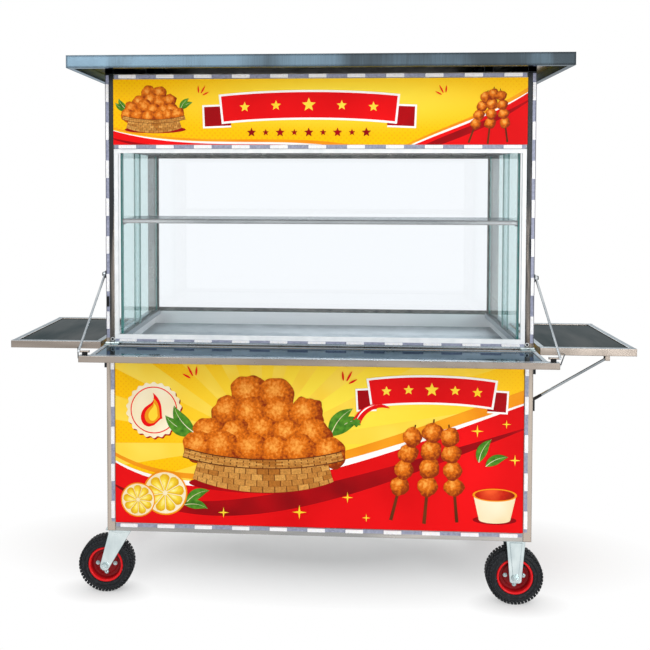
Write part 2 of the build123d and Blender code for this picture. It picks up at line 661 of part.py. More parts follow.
with BuildPart() as keeper_pads:
    for side in SIDES:
        x_mid = side * (KEEPER_IN + FLAP_END) / 2
        x_span = (x_mid - PAD_LENGTH / 2, x_mid + PAD_LENGTH / 2)
        pad_top = FOOT_Z - STAY_R + PAD_BITE
        slab(x_span, (FOOT_Y - PAD_WIDTH / 2, FOOT_Y + PAD_WIDTH / 2), (TABLE_TOP, pad_top))
        with Locations((x_mid, FOOT_Y, FOOT_Z)):
            Cylinder(STAY_R + RUN, 2 * PAD_LENGTH, rotation=(0, 90, 0), mode=Mode.SUBTRACT)
save(keeper_pads, "keeper_pads")

with BuildPart() as flap_sheet:
    sheet_x = FLAP_X - FLAP_SIDE_TUBE - FIT
    sheet_z = TABLE_TOP - FLAP_SHEET_DROP
    slab((-sheet_x, sheet_x), (FLAP_FRONT_IN + FIT, FLAP_REAR_IN - FIT), (sheet_z - SHEET, sheet_z))
save(flap_sheet, "flap_sheet")

HINGE_OUTER = HALF - HINGE_LENGTH / 2
HINGE_SPOTS = (-HINGE_OUTER, HINGE_OUTER)
KNUCKLE = HINGE_LENGTH / 3
with BuildPart() as flap_hinges:
    for x_spot in HINGE_SPOTS:
        x_span = (x_spot - HINGE_LENGTH / 2, x_spot + HINGE_LENGTH / 2)
        slab(x_span, (FRONT_Y - HINGE_LEAF, FRONT_Y), (COUNTER_LOW, HINGE_Z))
        with Locations((x_spot, HINGE_Y, HINGE_Z)):
            Cylinder(HINGE_R, HINGE_LENGTH, rotation=(0, 90, 0))
        notch_x = (x_spot - KNUCKLE / 2, x_spot + KNUCKLE / 2)
        notch_z = (HINGE_Z - HINGE_R - FIT, HINGE_Z + HINGE_R)
        slab(notch_x, (HINGE_Y - HINGE_R, FRONT_Y), notch_z, mode=Mode.SUBTRACT)
        with Locations((x_spot, HINGE_Y, HINGE_Z)):
            Cylinder(HINGE_PIN_R, HINGE_LENGTH, rotation=(0, 90, 0))
save(flap_hinges, "flap_hinges")

with BuildPart() as flap_hinge_leaves:
    for x_spot in HINGE_SPOTS:
        tongue = KNUCKLE / 2 - HINGE_KNUCKLE_GAP
        leaf_z = (TABLE_TOP, TABLE_TOP + HINGE_LEAF)
        leaf_x = (x_spot - HINGE_LENGTH / 2, x_spot + HINGE_LENGTH / 2)
        leaf_end = HINGE_Y - HINGE_LEAF_REACH
        slab(leaf_x, (leaf_end, HINGE_Y - HINGE_R - HINGE_LEAF), leaf_z)
        slab((x_spot - tongue, x_spot + tongue), (leaf_end, HINGE_Y), leaf_z)
        with Locations((x_spot, HINGE_Y, HINGE_Z)):
            Cylinder(HINGE_R, 2 * tongue, rotation=(0, 90, 0))
            Cylinder(HINGE_PIN_R + RUN, HINGE_LENGTH, rotation=(0, 90, 0), mode=Mode.SUBTRACT)
save(flap_hinge_leaves, "flap_hinge_leaves")

# Stays: rods from a pin on each post down to the keeper rods of the flap
STAY_X = HALF + STAY_OUT
STAY_Y = FRONT_Y + STAY_BACK
for side, name in ((-1, "left_stay"), (1, "right_stay")):
    with BuildPart() as stay:
        eye = Vector(side * STAY_X, STAY_Y, STAY_TOP_Z)
        foot = Vector(side * (STAY_X + STAY_SPREAD), FOOT_Y, FOOT_Z)
        toe = Vector(side * (FLAP_END + STAY_TOE_GAP), FOOT_Y, FOOT_Z)
        rod(eye, foot, STAY_R)
        rod(foot, toe, STAY_R)
        with Locations(foot):
            Sphere(STAY_R)
        with Locations(eye):
            Cylinder(STAY_EYE_R, 2 * STAY_R, rotation=(0, 90, 0))
            Cylinder(STAY_PIN_R + RUN, 4 * STAY_R, rotation=(0, 90, 0), mode=Mode.SUBTRACT)
    save(stay, name)

# Thin hooks from the ends of the flap's front tube back to the side shelves
with BuildPart() as corner_links:
    for side in SIDES:
        start = Vector(side * FLAP_END, FLAP_FRONT + FLAP_TUBE / 2, TABLE_TOP - FLAP_TUBE / 2)
        knee = start + Vector(side * 2 * LINK_R, 0, 0)
        end_y = FRONT_Y + WING_FRONT - LINK_GAP
        end = Vector(start.X + side * LINK_SPREAD, end_y, start.Z - LINK_DROP)
        rod(start, knee, LINK_R)
        rod(knee, end, LINK_R)
        with Locations(knee):
            Sphere(LINK_R)
save(corner_links, "corner_links")

# Side shelves: tube frame with a sheet let in, hinged on brackets with an ear at each end
WING_IN = HALF + WING_GAP
WING_OUT = WING_IN + WING_LENGTH
WING_Z = (TABLE_TOP - WING_TUBE, TABLE_TOP)
WING_Y = (FRONT_Y + WING_FRONT, FRONT_Y + WING_FRONT + WING_DEPTH)
WING_AXIS_X = HALF + WING_HINGE_OUT
WING_AXIS_Z = WING_Z[0] - WING_HINGE_R
WING_HINGE_SPOTS = (WING_Y[0] + WING_HINGE_INSET, WING_Y[1] - WING_HINGE_INSET)
STRUT_X = WING_AXIS_X + STRUT_OUT
STRUT_Z = WING_Z[0] - STRUT_DROP
FRONT_STRUT_Y = WING_Y[0] + STRUT_INSET
REAR_STRUT_Y = WING_Y[1] - STRUT_INSET
STRUT_ROWS = {-1: (REAR_STRUT_Y,), 1: (FRONT_STRUT_Y, REAR_STRUT_Y)}
CHEEK_IN = STRUT_EYE_LENGTH / 2 + CHEEK_GAP
for side, name in ((-1, "left_shelf_frame"), (1, "right_shelf_frame")):
    with BuildPart() as wing:
        for y_near in (WING_Y[0], WING_Y[1] - WING_TUBE_WIDE):
            y_span = (y_near, y_near + WING_TUBE_WIDE)
            tube(mirrored(side, WING_IN, WING_OUT), y_span, WING_Z, "x", WING_WALL, capped=True)
        cross_y = (WING_Y[0] + WING_TUBE_WIDE, WING_Y[1] - WING_TUBE_WIDE)
        for x_near in (WING_IN, WING_OUT - WING_TUBE_WIDE):
            tube(mirrored(side, x_near, x_near + WING_TUBE_WIDE), cross_y, WING_Z, "y", WING_WALL)
        for y_spot in WING_HINGE_SPOTS:
            tongue = EAR_SPAN / 2 - HINGE_KNUCKLE_GAP
            y_span = (y_spot - tongue, y_spot + tongue)
            leaf = mirrored(side, WING_AXIS_X, WING_AXIS_X + WING_LEAF_REACH)
            slab(leaf, y_span, (WING_Z[0] - HINGE_LEAF, WING_Z[0]))
            with Locations((side * WING_AXIS_X, y_spot, WING_AXIS_Z)):
                Cylinder(WING_HINGE_R, 2 * tongue, rotation=(90, 0, 0))
                Cylinder(WING_PIN_R + RUN, EAR_SPAN, rotation=(90, 0, 0), mode=Mode.SUBTRACT)
        for y_spot in STRUT_ROWS[side]:
            for way in SIDES:
                cheek_y = (y_spot + way * CHEEK_IN, y_spot + way * (CHEEK_IN + CHEEK))
                cheek_x = mirrored(side, STRUT_X - CHEEK_HALF, STRUT_X + CHEEK_HALF)
                slab(cheek_x, cheek_y, (STRUT_Z - CHEEK_HALF, WING_Z[0] + CHEEK_BITE))
            with Locations((side * STRUT_X, y_spot, STRUT_Z)):
                Cylinder(STRUT_PIN_R, 2 * (CHEEK_IN + CHEEK), rotation=(90, 0, 0))
    save(wing, name)

for side, name in ((-1, "left_shelf_sheet"), (1, "right_shelf_sheet")):
    with BuildPart() as wing_sheet:
        x_span = mirrored(side, WING_IN + WING_TUBE_WIDE + FIT, WING_OUT - WING_TUBE_WIDE - FIT)
        y_span = (WING_Y[0] + WING_TUBE_WIDE + FIT, WING_Y[1] - WING_TUBE_WIDE - FIT)
        z_top = TABLE_TOP - WING_SHEET_DROP
        slab(x_span, y_span, (z_top - SHEET, z_top))
    save(wing_sheet, name)

with BuildPart() as shelf_hinges:
    for side in SIDES:
        for y_spot in WING_HINGE_SPOTS:
            ear_in = EAR_SPAN / 2
            ear_out = ear_in + EAR_THICK
            plate_z = (WING_AXIS_Z - WING_HINGE_R, WING_AXIS_Z - WING_HINGE_R + EAR_HEIGHT)
            slab(mirrored(side, HALF, HALF + EAR_PLATE), (y_spot - ear_out, y_spot + ear_out), plate_z)
            for way in SIDES:
                y_span = (y_spot + way * ear_in, y_spot + way * ear_out)
                ear_z = (WING_AXIS_Z - WING_HINGE_R, WING_AXIS_Z + WING_HINGE_R)
                slab(mirrored(side, HALF, WING_AXIS_X), y_span, ear_z)
                with Locations((side * WING_AXIS_X, y_spot + way * (ear_in + ear_out) / 2, WING_AXIS_Z)):
                    Cylinder(WING_HINGE_R, EAR_THICK, rotation=(90, 0, 0))
            with Locations((side * WING_AXIS_X, y_spot, WING_AXIS_Z)):
                Cylinder(WING_PIN_R, 2 * ear_out, rotation=(90, 0, 0))
save(shelf_hinges, "shelf_hinges")

# Struts: rods with an eye under the shelf and a hook at the cart's side
SOCKET_X = HALF + SOCKET_OUT
for side, name in ((-1, "left_strut"), (1, "right_struts")):
    with BuildPart() as struts:
        for y_spot in STRUT_ROWS[side]:
            eye = Vector(side * STRUT_X, y_spot, STRUT_Z)
            knee = Vector(side * SOCKET_X, y_spot, SOCKET_Z)
            tip = knee - Vector(0, 0, HOOK_DROP)
            rod(eye, knee, STRUT_R)
            rod(knee, tip, STRUT_R)
            with Locations(knee):
                Sphere(STRUT_R)
            with Locations(eye):
                Cylinder(STRUT_EYE_R, STRUT_EYE_LENGTH, rotation=(90, 0, 0))
                Cylinder(STRUT_PIN_R + RUN, 2 * STRUT_EYE_LENGTH, rotation=(90, 0, 0), mode=Mode.SUBTRACT)
    save(struts, name)

# Brackets: a pin and a rest block on each front post, and a forked socket for each strut
with BuildPart() as side_brackets:
    for side in SIDES:
        half_plate = STAY_PLATE_SIZE / 2
        pin_end = STAY_X + STAY_R + STAY_HEAD_GAP
        plate_x = mirrored(side, HALF, HALF + STAY_PLATE)
        slab(plate_x, (FRONT_Y, FRONT_IN), (STAY_TOP_Z - half_plate, STAY_TOP_Z + half_plate))
        with Locations((side * (HALF + pin_end) / 2, STAY_Y, STAY_TOP_Z)):
            Cylinder(STAY_PIN_R, pin_end - HALF, rotation=(0, 90, 0))
        with Locations((side * (pin_end + STAY_HEAD / 2), STAY_Y, STAY_TOP_Z)):
            Cylinder(STAY_HEAD_R, STAY_HEAD, rotation=(0, 90, 0))
        rest_y = (FRONT_Y + REST_INSET, FRONT_Y + REST_INSET + REST_WIDTH)
        slab(mirrored(side, HALF, HALF + REST_REACH), rest_y, (REST_Z, REST_Z + REST_HEIGHT))
        for y_spot in STRUT_ROWS[side]:
            cheek_out = CHEEK_IN + CHEEK
            z_span = (SOCKET_Z + STRUT_EYE_R - SOCKET_HEIGHT, SOCKET_Z + STRUT_EYE_R)
            plate_x = mirrored(side, PANEL_OUT, PANEL_OUT + SOCKET_PLATE)
            slab(plate_x, (y_spot - cheek_out, y_spot + cheek_out), z_span)
            for way in SIDES:
                y_span = (y_spot + way * CHEEK_IN, y_spot + way * cheek_out)
                slab(mirrored(side, PANEL_OUT, PANEL_OUT + SOCKET_REACH), y_span, z_span)
save(side_brackets, "side_brackets")

# Casters: two swivel ones on the left, two rigid ones on the right
CASTER_ROWS = (("front", FRONT_Y + CASTER_INSET_Y), ("rear", REAR_Y - CASTER_INSET_Y))
SWIVEL_X = -(HALF - SWIVEL_INSET_X)
SWIVEL_WHEEL_X = SWIVEL_X - SWIVEL_TRAIL
RIGID_X = HALF - RIGID_INSET_X
PLATE_LOW = BASE_Z - CASTER_PLATE
CROWN_TOP = PLATE_LOW - CROWN_GAP
CROWN_LOW_Z = CROWN_TOP - CROWN_THICK
LEG_IN = TYRE_WIDTH / 2 + LEG_GAP
LEG_OUT = LEG_IN + LEG_THICK


def caster_plate(x_mid, y_mid):
    """The flat plate that is bolted under a corner of the frame."""
    half = CASTER_PLATE_SIZE / 2
    slab((x_mid - half, x_mid + half), (y_mid - half, y_mid + half), (PLATE_LOW, BASE_Z))


def leg_blank(y_face, thickness, outline):
    """One upright plate around the given corner shapes, from its rear face forwards."""
    with BuildSketch(plane_xz(y_face)) as leg:
        outline()
        make_hull()
    extrude(leg.sketch, amount=thickness)


def swivel_outline(x_top, x_axle):
    """Corner shapes of a trailing leg: its wide head and its round end."""
    with Locations((x_top, CROWN_LOW_Z + LEG_THICK / 2)):
        Rectangle(SWIVEL_TOP, LEG_THICK)
    with Locations((x_axle, WHEEL_R)):
        Circle(SWIVEL_END_R)


def rigid_outline(x_axle, inset):
    """Corner shapes of a straight leg, or of the rib pressed into it."""
    with Locations((x_axle, PLATE_LOW - LEG_THICK / 2 - inset)):
        Rectangle(RIGID_TOP - 2 * inset, LEG_THICK)
    with Locations((x_axle, WHEEL_R - RIGID_END_DROP + RIGID_END / 2)):
        RectangleRounded(RIGID_END - 2 * inset, RIGID_END - 2 * inset, RIGID_END_CORNER - inset / 2)


def axle_hole(x_axle, y_mid):
    """The hole for the axle through both legs."""
    with Locations((x_axle, y_mid, WHEEL_R)):
        Cylinder(AXLE_R + RUN, 2 * (LEG_OUT + AXLE_HEAD), rotation=(90, 0, 0), mode=Mode.SUBTRACT)


def axle(x_axle, y_mid, rib):
    """A bolt through both legs with a head outside each, clear of any rib."""
    half = LEG_OUT + rib + RUN
    with Locations((x_axle, y_mid, WHEEL_R)):
        Cylinder(AXLE_R, 2 * half + AXLE_HEAD, rotation=(90, 0, 0))
    for way in SIDES:
        with Locations((x_axle, y_mid + way * (half + AXLE_HEAD / 2), WHEEL_R)):
            Cylinder(AXLE_HEAD_R, AXLE_HEAD, rotation=(90, 0, 0))


with BuildPart() as caster_plates:
    for _, y_mid in CASTER_ROWS:
        caster_plate(SWIVEL_X, y_mid)
        pin_low = CROWN_LOW_Z - CROWN_GAP - KINGPIN_NUT
        with Locations((SWIVEL_X, y_mid, (PLATE_LOW + pin_low) / 2)):
            Cylinder(KINGPIN_R, PLATE_LOW - pin_low)
        with Locations((SWIVEL_X, y_mid, pin_low + KINGPIN_NUT / 2)):
            Cylinder(KINGPIN_NUT_R, KINGPIN_NUT)
save(caster_plates, "caster_plates")

with BuildPart() as rigid_forks:
    for _, y_mid in CASTER_ROWS:
        caster_plate(RIGID_X, y_mid)
        for y_face in (y_mid + LEG_OUT, y_mid - LEG_IN):
            leg_blank(y_face, LEG_THICK, lambda: rigid_outline(RIGID_X, 0))
        for y_face in (y_mid + LEG_OUT + RIB_LIFT, y_mid - LEG_OUT):
            leg_blank(y_face, RIB_LIFT, lambda: rigid_outline(RIGID_X, RIB_INSET))
        axle_hole(RIGID_X, y_mid)
        axle(RIGID_X, y_mid, RIB_LIFT)
save(rigid_forks, "rigid_forks")

for row, y_mid in CASTER_ROWS:
    with BuildPart() as swivel_fork:
        with Locations((SWIVEL_X, y_mid, CROWN_LOW_Z + CROWN_THICK / 2)):
            Cylinder(CROWN_R, CROWN_THICK)
        for y_face in (y_mid + LEG_OUT, y_mid - LEG_IN):
            leg_blank(y_face, LEG_THICK, lambda: swivel_outline(SWIVEL_X, SWIVEL_WHEEL_X))
        with Locations((SWIVEL_X, y_mid, CROWN_LOW_Z)):
            Cylinder(KINGPIN_R + RUN, 2 * CROWN_R, mode=Mode.SUBTRACT)
        axle_hole(SWIVEL_WHEEL_X, y_mid)
        axle(SWIVEL_WHEEL_X, y_mid, 0)
    save(swivel_fork, f"{row}_swivel_fork")

# Wheels: rubber tyre on a bolted steel rim
WHEELS = []
for row, y_mid in CASTER_ROWS:
    WHEELS.append((f"{row}_left", SWIVEL_WHEEL_X, y_mid))
    WHEELS.append((f"{row}_right", RIGID_X, y_mid))

for place, x_mid, y_mid in WHEELS:
    centre = (x_mid, y_mid, WHEEL_R)
    spin = Axis(centre, (0, 1, 0))
    with BuildPart() as tyre:
        with BuildSketch(Plane(centre)) as section:
            with Locations(((RIM_R + FIT + WHEEL_R) / 2, 0)):
                Rectangle(WHEEL_R - RIM_R - FIT, TYRE_WIDTH)
            fillet(section.vertices().group_by(Axis.X)[-1], TYRE_ROUND)
        revolve(axis=spin)
    save(tyre, f"{place}_tyre")

    with BuildPart() as rim:
        with BuildSketch(Plane(centre)) as section:
            bore = AXLE_R + RUN
            with Locations(((bore + HUB_R) / 2, 0)):
                Rectangle(HUB_R - bore, HUB_LENGTH)
            with Locations(((bore + RIM_R) / 2, 0)):
                Rectangle(RIM_R - bore, WEB_THICK)
            with Locations((RIM_R - RIM_LIP / 2, 0)):
                Rectangle(RIM_LIP, RIM_WIDTH)
        revolve(axis=spin)
        ring = Plane(origin=centre, x_dir=(1, 0, 0), z_dir=(0, -1, 0))
        with Locations(ring):
            with PolarLocations(RIM_BOLT_RING, RIM_BOLTS):
                Cylinder(RIM_BOLT_R + RUN, 2 * WEB_THICK, mode=Mode.SUBTRACT)
                Cylinder(RIM_BOLT_R, WEB_THICK + 2 * RUN)
            for way in SIDES:
                lift = way * (WEB_THICK / 2 + RUN + RIM_BOLT_HEAD / 2)
                with Locations((0, 0, lift)):
                    with PolarLocations(RIM_BOLT_RING, RIM_BOLTS):
                        Cylinder(RIM_BOLT_HEAD_R, RIM_BOLT_HEAD)
    save(rim, f"{place}_rim")
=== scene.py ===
"""Street food cart: finishes, printed boards, wheels and lights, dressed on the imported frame."""

import logging
import math
import random
from abc import ABC, abstractmethod
from collections.abc import Callable, Iterable, Sequence
from dataclasses import dataclass, field
from enum import Enum
from typing import Any

import bmesh
import bpy
from mathutils import Matrix, Vector


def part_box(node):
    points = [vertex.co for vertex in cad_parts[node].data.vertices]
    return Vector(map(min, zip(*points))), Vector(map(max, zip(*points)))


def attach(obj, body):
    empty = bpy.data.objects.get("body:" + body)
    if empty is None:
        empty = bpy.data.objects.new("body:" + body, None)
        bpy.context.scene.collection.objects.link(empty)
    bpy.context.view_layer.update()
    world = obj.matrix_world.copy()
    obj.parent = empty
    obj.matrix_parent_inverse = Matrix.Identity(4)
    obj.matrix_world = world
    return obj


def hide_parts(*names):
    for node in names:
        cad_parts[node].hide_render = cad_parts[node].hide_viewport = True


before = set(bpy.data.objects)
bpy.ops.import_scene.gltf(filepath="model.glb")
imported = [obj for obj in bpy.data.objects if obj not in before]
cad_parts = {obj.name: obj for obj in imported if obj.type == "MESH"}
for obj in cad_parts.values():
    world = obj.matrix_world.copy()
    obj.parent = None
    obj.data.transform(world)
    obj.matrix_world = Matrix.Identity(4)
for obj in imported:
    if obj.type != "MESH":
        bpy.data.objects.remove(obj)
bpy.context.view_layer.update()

LOG = logging.getLogger("cart")
MM = 0.001
PER_MM = 1.0 / MM
FRAME_BODY = "cart_frame"
# Outer face of a fork's legs, from the middle of its wheel; the rigid legs have raised ribs.
SWIVEL_LEG_MM = 31.0
RIGID_LEG_MM = 32.5
SMOOTH_BELOW = math.radians(38.0)
ACROSS = Vector((1.0, 0.0, 0.0))
BACK = Vector((0.0, 1.0, 0.0))
UP = Vector((0.0, 0.0, 1.0))
SIDES = (-1, 1)
# Corners of a turned section that lie closer than this are one.
SAME_MM = 0.001

# Most of a noise lies between these values, so a tone runs through its whole range between them.
NOISE_LOW, NOISE_HIGH = 0.3, 0.7
# A rounded normal leans this far, as a cosine, where an edge begins and where it is full.
EDGE_BEGINS, EDGE_FULL = 0.995, 0.9
EDGE_SAMPLES = 6
# Satin film over the print, with little gloss and a faint orange peel.
FILM_ROUGHNESS = 0.42
FILM_GLOSS = 0.1
PEEL_MM = 4.0
PEEL_DEPTH_MM = 0.015

Mesh = bmesh.types.BMesh
Socket = bpy.types.NodeSocket
Tree = bpy.types.NodeTree
Pair = tuple[float, float]
Spot = Pair | Vector
Path = Callable[[float], Vector]
Width = Callable[[float], float]


class Axis(Enum):
    """The cart's axes: across it, to its rear and up."""

    X = 0
    Y = 1
    Z = 2


# Materials


def linear(hex_colour: str) -> tuple[float, float, float, float]:
    """Turn an sRGB hex colour to linear light.

    Args:
        hex_colour: Six hex digits.

    Returns:
        Red, green, blue and an alpha of one.
    """
    parts = [int(hex_colour[at:at + 2], 16) / 255.0 for at in (0, 2, 4)]
    red, green, blue = (c / 12.92 if c <= 0.04045 else ((c + 0.055) / 1.055) ** 2.4 for c in parts)
    return red, green, blue, 1.0


def add_node(tree: Tree, kind: str, links: dict | None = None, out: int | str | None = None,
             **settings: Any) -> Socket | None:
    """Add one shader node with its settings, values and links.

    Args:
        tree: The node tree that gets the node.
        kind: Blender's name of the node type after its leading ShaderNode.
        links: For each input, by number or name, a socket to link or a value or hex colour to set.
        out: The output to give back, by number or name.
        **settings: Properties of the node.

    Returns:
        The named output, or else the first one in use; an output node has none.
    """
    node = tree.nodes.new(f"ShaderNode{kind}")
    for key, value in settings.items():
        setattr(node, key, value)
    for key, value in (links or {}).items():
        if isinstance(value, Socket):
            tree.links.new(value, node.inputs[key])
        else:
            node.inputs[key].default_value = linear(value) if isinstance(value, str) else value
    if out is not None:
        return node.outputs[out]
    return next((socket for socket in node.outputs if socket.enabled), None)


def edges(tree: Tree, radius_mm: float, share: float) -> Socket:
    """Find the sharp edges of a surface, from how far a rounded normal leans away from its own.

    Args:
        tree: The material's node tree.
        radius_mm: Reach of an edge.
        share: Value at the edge itself.

    Returns:
        A socket that falls from the share at an edge to zero on the flat.
    """
    soft = add_node(tree, "Bevel", {"Radius": radius_mm * MM}, samples=EDGE_SAMPLES)
    normal = add_node(tree, "NewGeometry", out="Normal")
    flat = add_node(tree, "VectorMath", {0: soft, 1: normal}, operation="DOT_PRODUCT")
    return add_node(tree, "MapRange", {0: flat, 1: EDGE_BEGINS, 2: EDGE_FULL, 3: 0.0, 4: share})


def grained(tree: Tree, place: Socket, size_mm: float, depth_mm: float, detail: float = 1.0) -> Socket:
    """Raise an even relief on a surface, from a fine grain to wide dents.

    Args:
        tree: The material's node tree.
        place: Place on the piece.
        size_mm: Width of a grain.
        depth_mm: Its height.
        detail: How many finer grains lie on it.

    Returns:
        The surface's normal.
    """
    height = add_node(tree, "TexNoise", {"Vector": place, "Scale": PER_MM / size_mm, "Detail": detail})
    return add_node(tree, "Bump", {"Distance": depth_mm * MM, "Height": height})


def filmed(tree: Tree, colour: Socket, normal: Socket | None = None) -> Socket:
    """Cover a printed colour with the boards' film.

    Args:
        tree: The material's node tree.
        colour: The print.
        normal: Normal of the film, where it has a relief.

    Returns:
        The film's shader.
    """
    look = {"Base Color": colour, "Roughness": FILM_ROUGHNESS, "Specular IOR Level": FILM_GLOSS}
    if normal is not None:
        look["Normal"] = normal
    return add_node(tree, "BsdfPrincipled", look)


def seen(tree: Tree) -> Socket:
    """Tell the rays that show the background: from the camera, from gloss and through glass.

    Args:
        tree: The node tree of a material or of the world.

    Returns:
        A socket with one for those rays and zero for the rest.
    """
    path = add_node(tree, "LightPath").node.outputs
    shown = add_node(tree, "Math", {0: path["Is Camera Ray"], 1: path["Is Glossy Ray"]}, operation="MAXIMUM")
    return add_node(tree, "Math", {0: shown, 1: path["Is Transmission Ray"]}, operation="MAXIMUM")


@dataclass(frozen=True)
class Finish(ABC):
    """The finish of a real material, which becomes one Blender material when it is first asked for."""

    name: str

    @abstractmethod
    def surface(self, tree: Tree) -> Socket:
        """Add the finish's nodes to a material's tree and give the shader that they end in."""

    def material(self) -> bpy.types.Material:
        """Make the finish as a node material, once.

        Returns:
            The material under the finish's name.
        """
        made = bpy.data.materials.get(self.name)
        if made is None:
            made = bpy.data.materials.new(self.name)
            made.use_nodes = True
            tree = made.node_tree
            tree.nodes.clear()
            add_node(tree, "OutputMaterial", {0: self.surface(tree)})
        return made


@dataclass(frozen=True)
class MillMetal(Finish):
    """Sheet, tube or rod from the mill: fine lines along its run, wide bands, shallow dents and painted edge
    lines.

    Real polishing lines are too fine to show, so they are drawn 1.6 mm wide. The tone may lean along an axis
    as a painted reflection, upward faces may have a colour of their own as painted light or shade, sharp
    edges take a painted line of shade, or of highlight where its colour is light, and the rim is the tint
    at grazing views.
    """

    light: str
    dark: str
    roughness: float
    run: Axis
    # Colour painted on upward faces for the light or shade that falls on them.
    top: str = ""
    painted_top_share: float = 0.82
    painted_top_ends: Pair = (0.69, 0.7)
    rim: str = "b9c0c5"
    # Colour of the painted lines at sharp edges: dark shade, or a highlight where it is light.
    fold: str = "4a5258"
    painted_edge_mm: float = 3.0
    painted_edge_share: float = 0.75
    line_mm: float = 1.6
    line_stretch: float = 70.0
    line_share: float = 0.3
    line_depth_mm: float = 0.006
    band_mm: float = 85.0
    band_stretch: float = 6.0
    band_share: float = 1.5
    tone_ends: Pair = (0.6, 1.2)
    lean: float = 0.0
    lean_axis: Axis = Axis.X
    lean_from_m: float = 0.0
    smear_mm: float = 60.0
    smear_ends: Pair = (0.8, 1.25)
    wave_mm: float = 170.0
    wave_depth_mm: float = 0.25

    def tone(self, tree: Tree, place: Socket, lines: Socket, bands: Socket) -> Socket:
        """Mix the metal's colours by its lines, bands and painted lean, and paint light or shade on its
        upward faces and edges.

        Args:
            tree: The material's node tree.
            place: Place on the piece.
            lines: Height of the polishing lines.
            bands: Strength of the wide bands.

        Returns:
            The metal's colour.
        """
        # The lean runs the tone darker or lighter along an axis: a painted reflection.
        along = add_node(tree, "SeparateXYZ", {0: place}, out=self.lean_axis.value)
        slope = add_node(tree, "Math", {0: along, 1: self.lean, 2: -self.lean * self.lean_from_m},
                         operation="MULTIPLY_ADD")
        lined = add_node(tree, "Math", {0: lines, 1: self.line_share, 2: slope}, operation="MULTIPLY_ADD")
        banded = add_node(tree, "Math", {0: bands, 1: self.band_share, 2: lined}, operation="MULTIPLY_ADD")
        level = add_node(tree, "MapRange", {0: banded, 1: self.tone_ends[0], 2: self.tone_ends[1]})
        colour = add_node(tree, "Mix", {0: level, 6: self.dark, 7: self.light}, data_type="RGBA")
        # Painted light and shade: upward faces take the top colour, as the light falls on them.
        if self.top:
            normal = add_node(tree, "NewGeometry", out="Normal")
            upward = add_node(tree, "SeparateXYZ", {0: normal}, out=Axis.Z.value)
            above = add_node(tree, "MapRange", {0: upward, 1: self.painted_top_ends[0], 2: self.painted_top_ends[1], 3: 0.0,
                                                4: self.painted_top_share})
            colour = add_node(tree, "Mix", {0: above, 6: colour, 7: self.top}, data_type="RGBA")
        # Painted lines at sharp edges: they take the fold colour, as dark shade or as a highlight where it is
        # light.
        fold = edges(tree, self.painted_edge_mm, self.painted_edge_share)
        return add_node(tree, "Mix", {0: fold, 6: colour, 7: self.fold}, data_type="RGBA")

    def surface(self, tree: Tree) -> Socket:
        """Lay the lines, bands, smears and dents on the metal.

        Args:
            tree: The material's node tree.

        Returns:
            The metal's shader.
        """
        place = add_node(tree, "TexCoord", out="Object")
        drawn = []
        for size_mm, stretch, detail in ((self.line_mm, self.line_stretch, 2.0),
                                         (self.band_mm, self.band_stretch, 3.0)):
            scale = [PER_MM / size_mm] * 3
            scale[self.run.value] /= stretch
            laid = add_node(tree, "Mapping", {"Vector": place, "Scale": scale})
            drawn.append(add_node(tree, "TexNoise", {"Vector": laid, "Scale": 1.0, "Detail": detail}))
        lines, bands = drawn
        smear = add_node(tree, "TexNoise", {"Vector": place, "Scale": PER_MM / self.smear_mm, "Detail": 4.0})
        rough = add_node(tree, "MapRange", {0: smear, 1: NOISE_LOW, 2: NOISE_HIGH,
                                            3: self.roughness * self.smear_ends[0],
                                            4: self.roughness * self.smear_ends[1]})
        dents = grained(tree, place, self.wave_mm, self.wave_depth_mm)
        relief = add_node(tree, "Bump", {"Distance": self.line_depth_mm * MM, "Height": lines,
                                         "Normal": dents})
        return add_node(tree, "BsdfPrincipled", {"Base Color": self.tone(tree, place, lines, bands),
                                                 "Metallic": 1.0, "Roughness": rough, "Normal": relief,
                                                 "Specular Tint": self.rim})


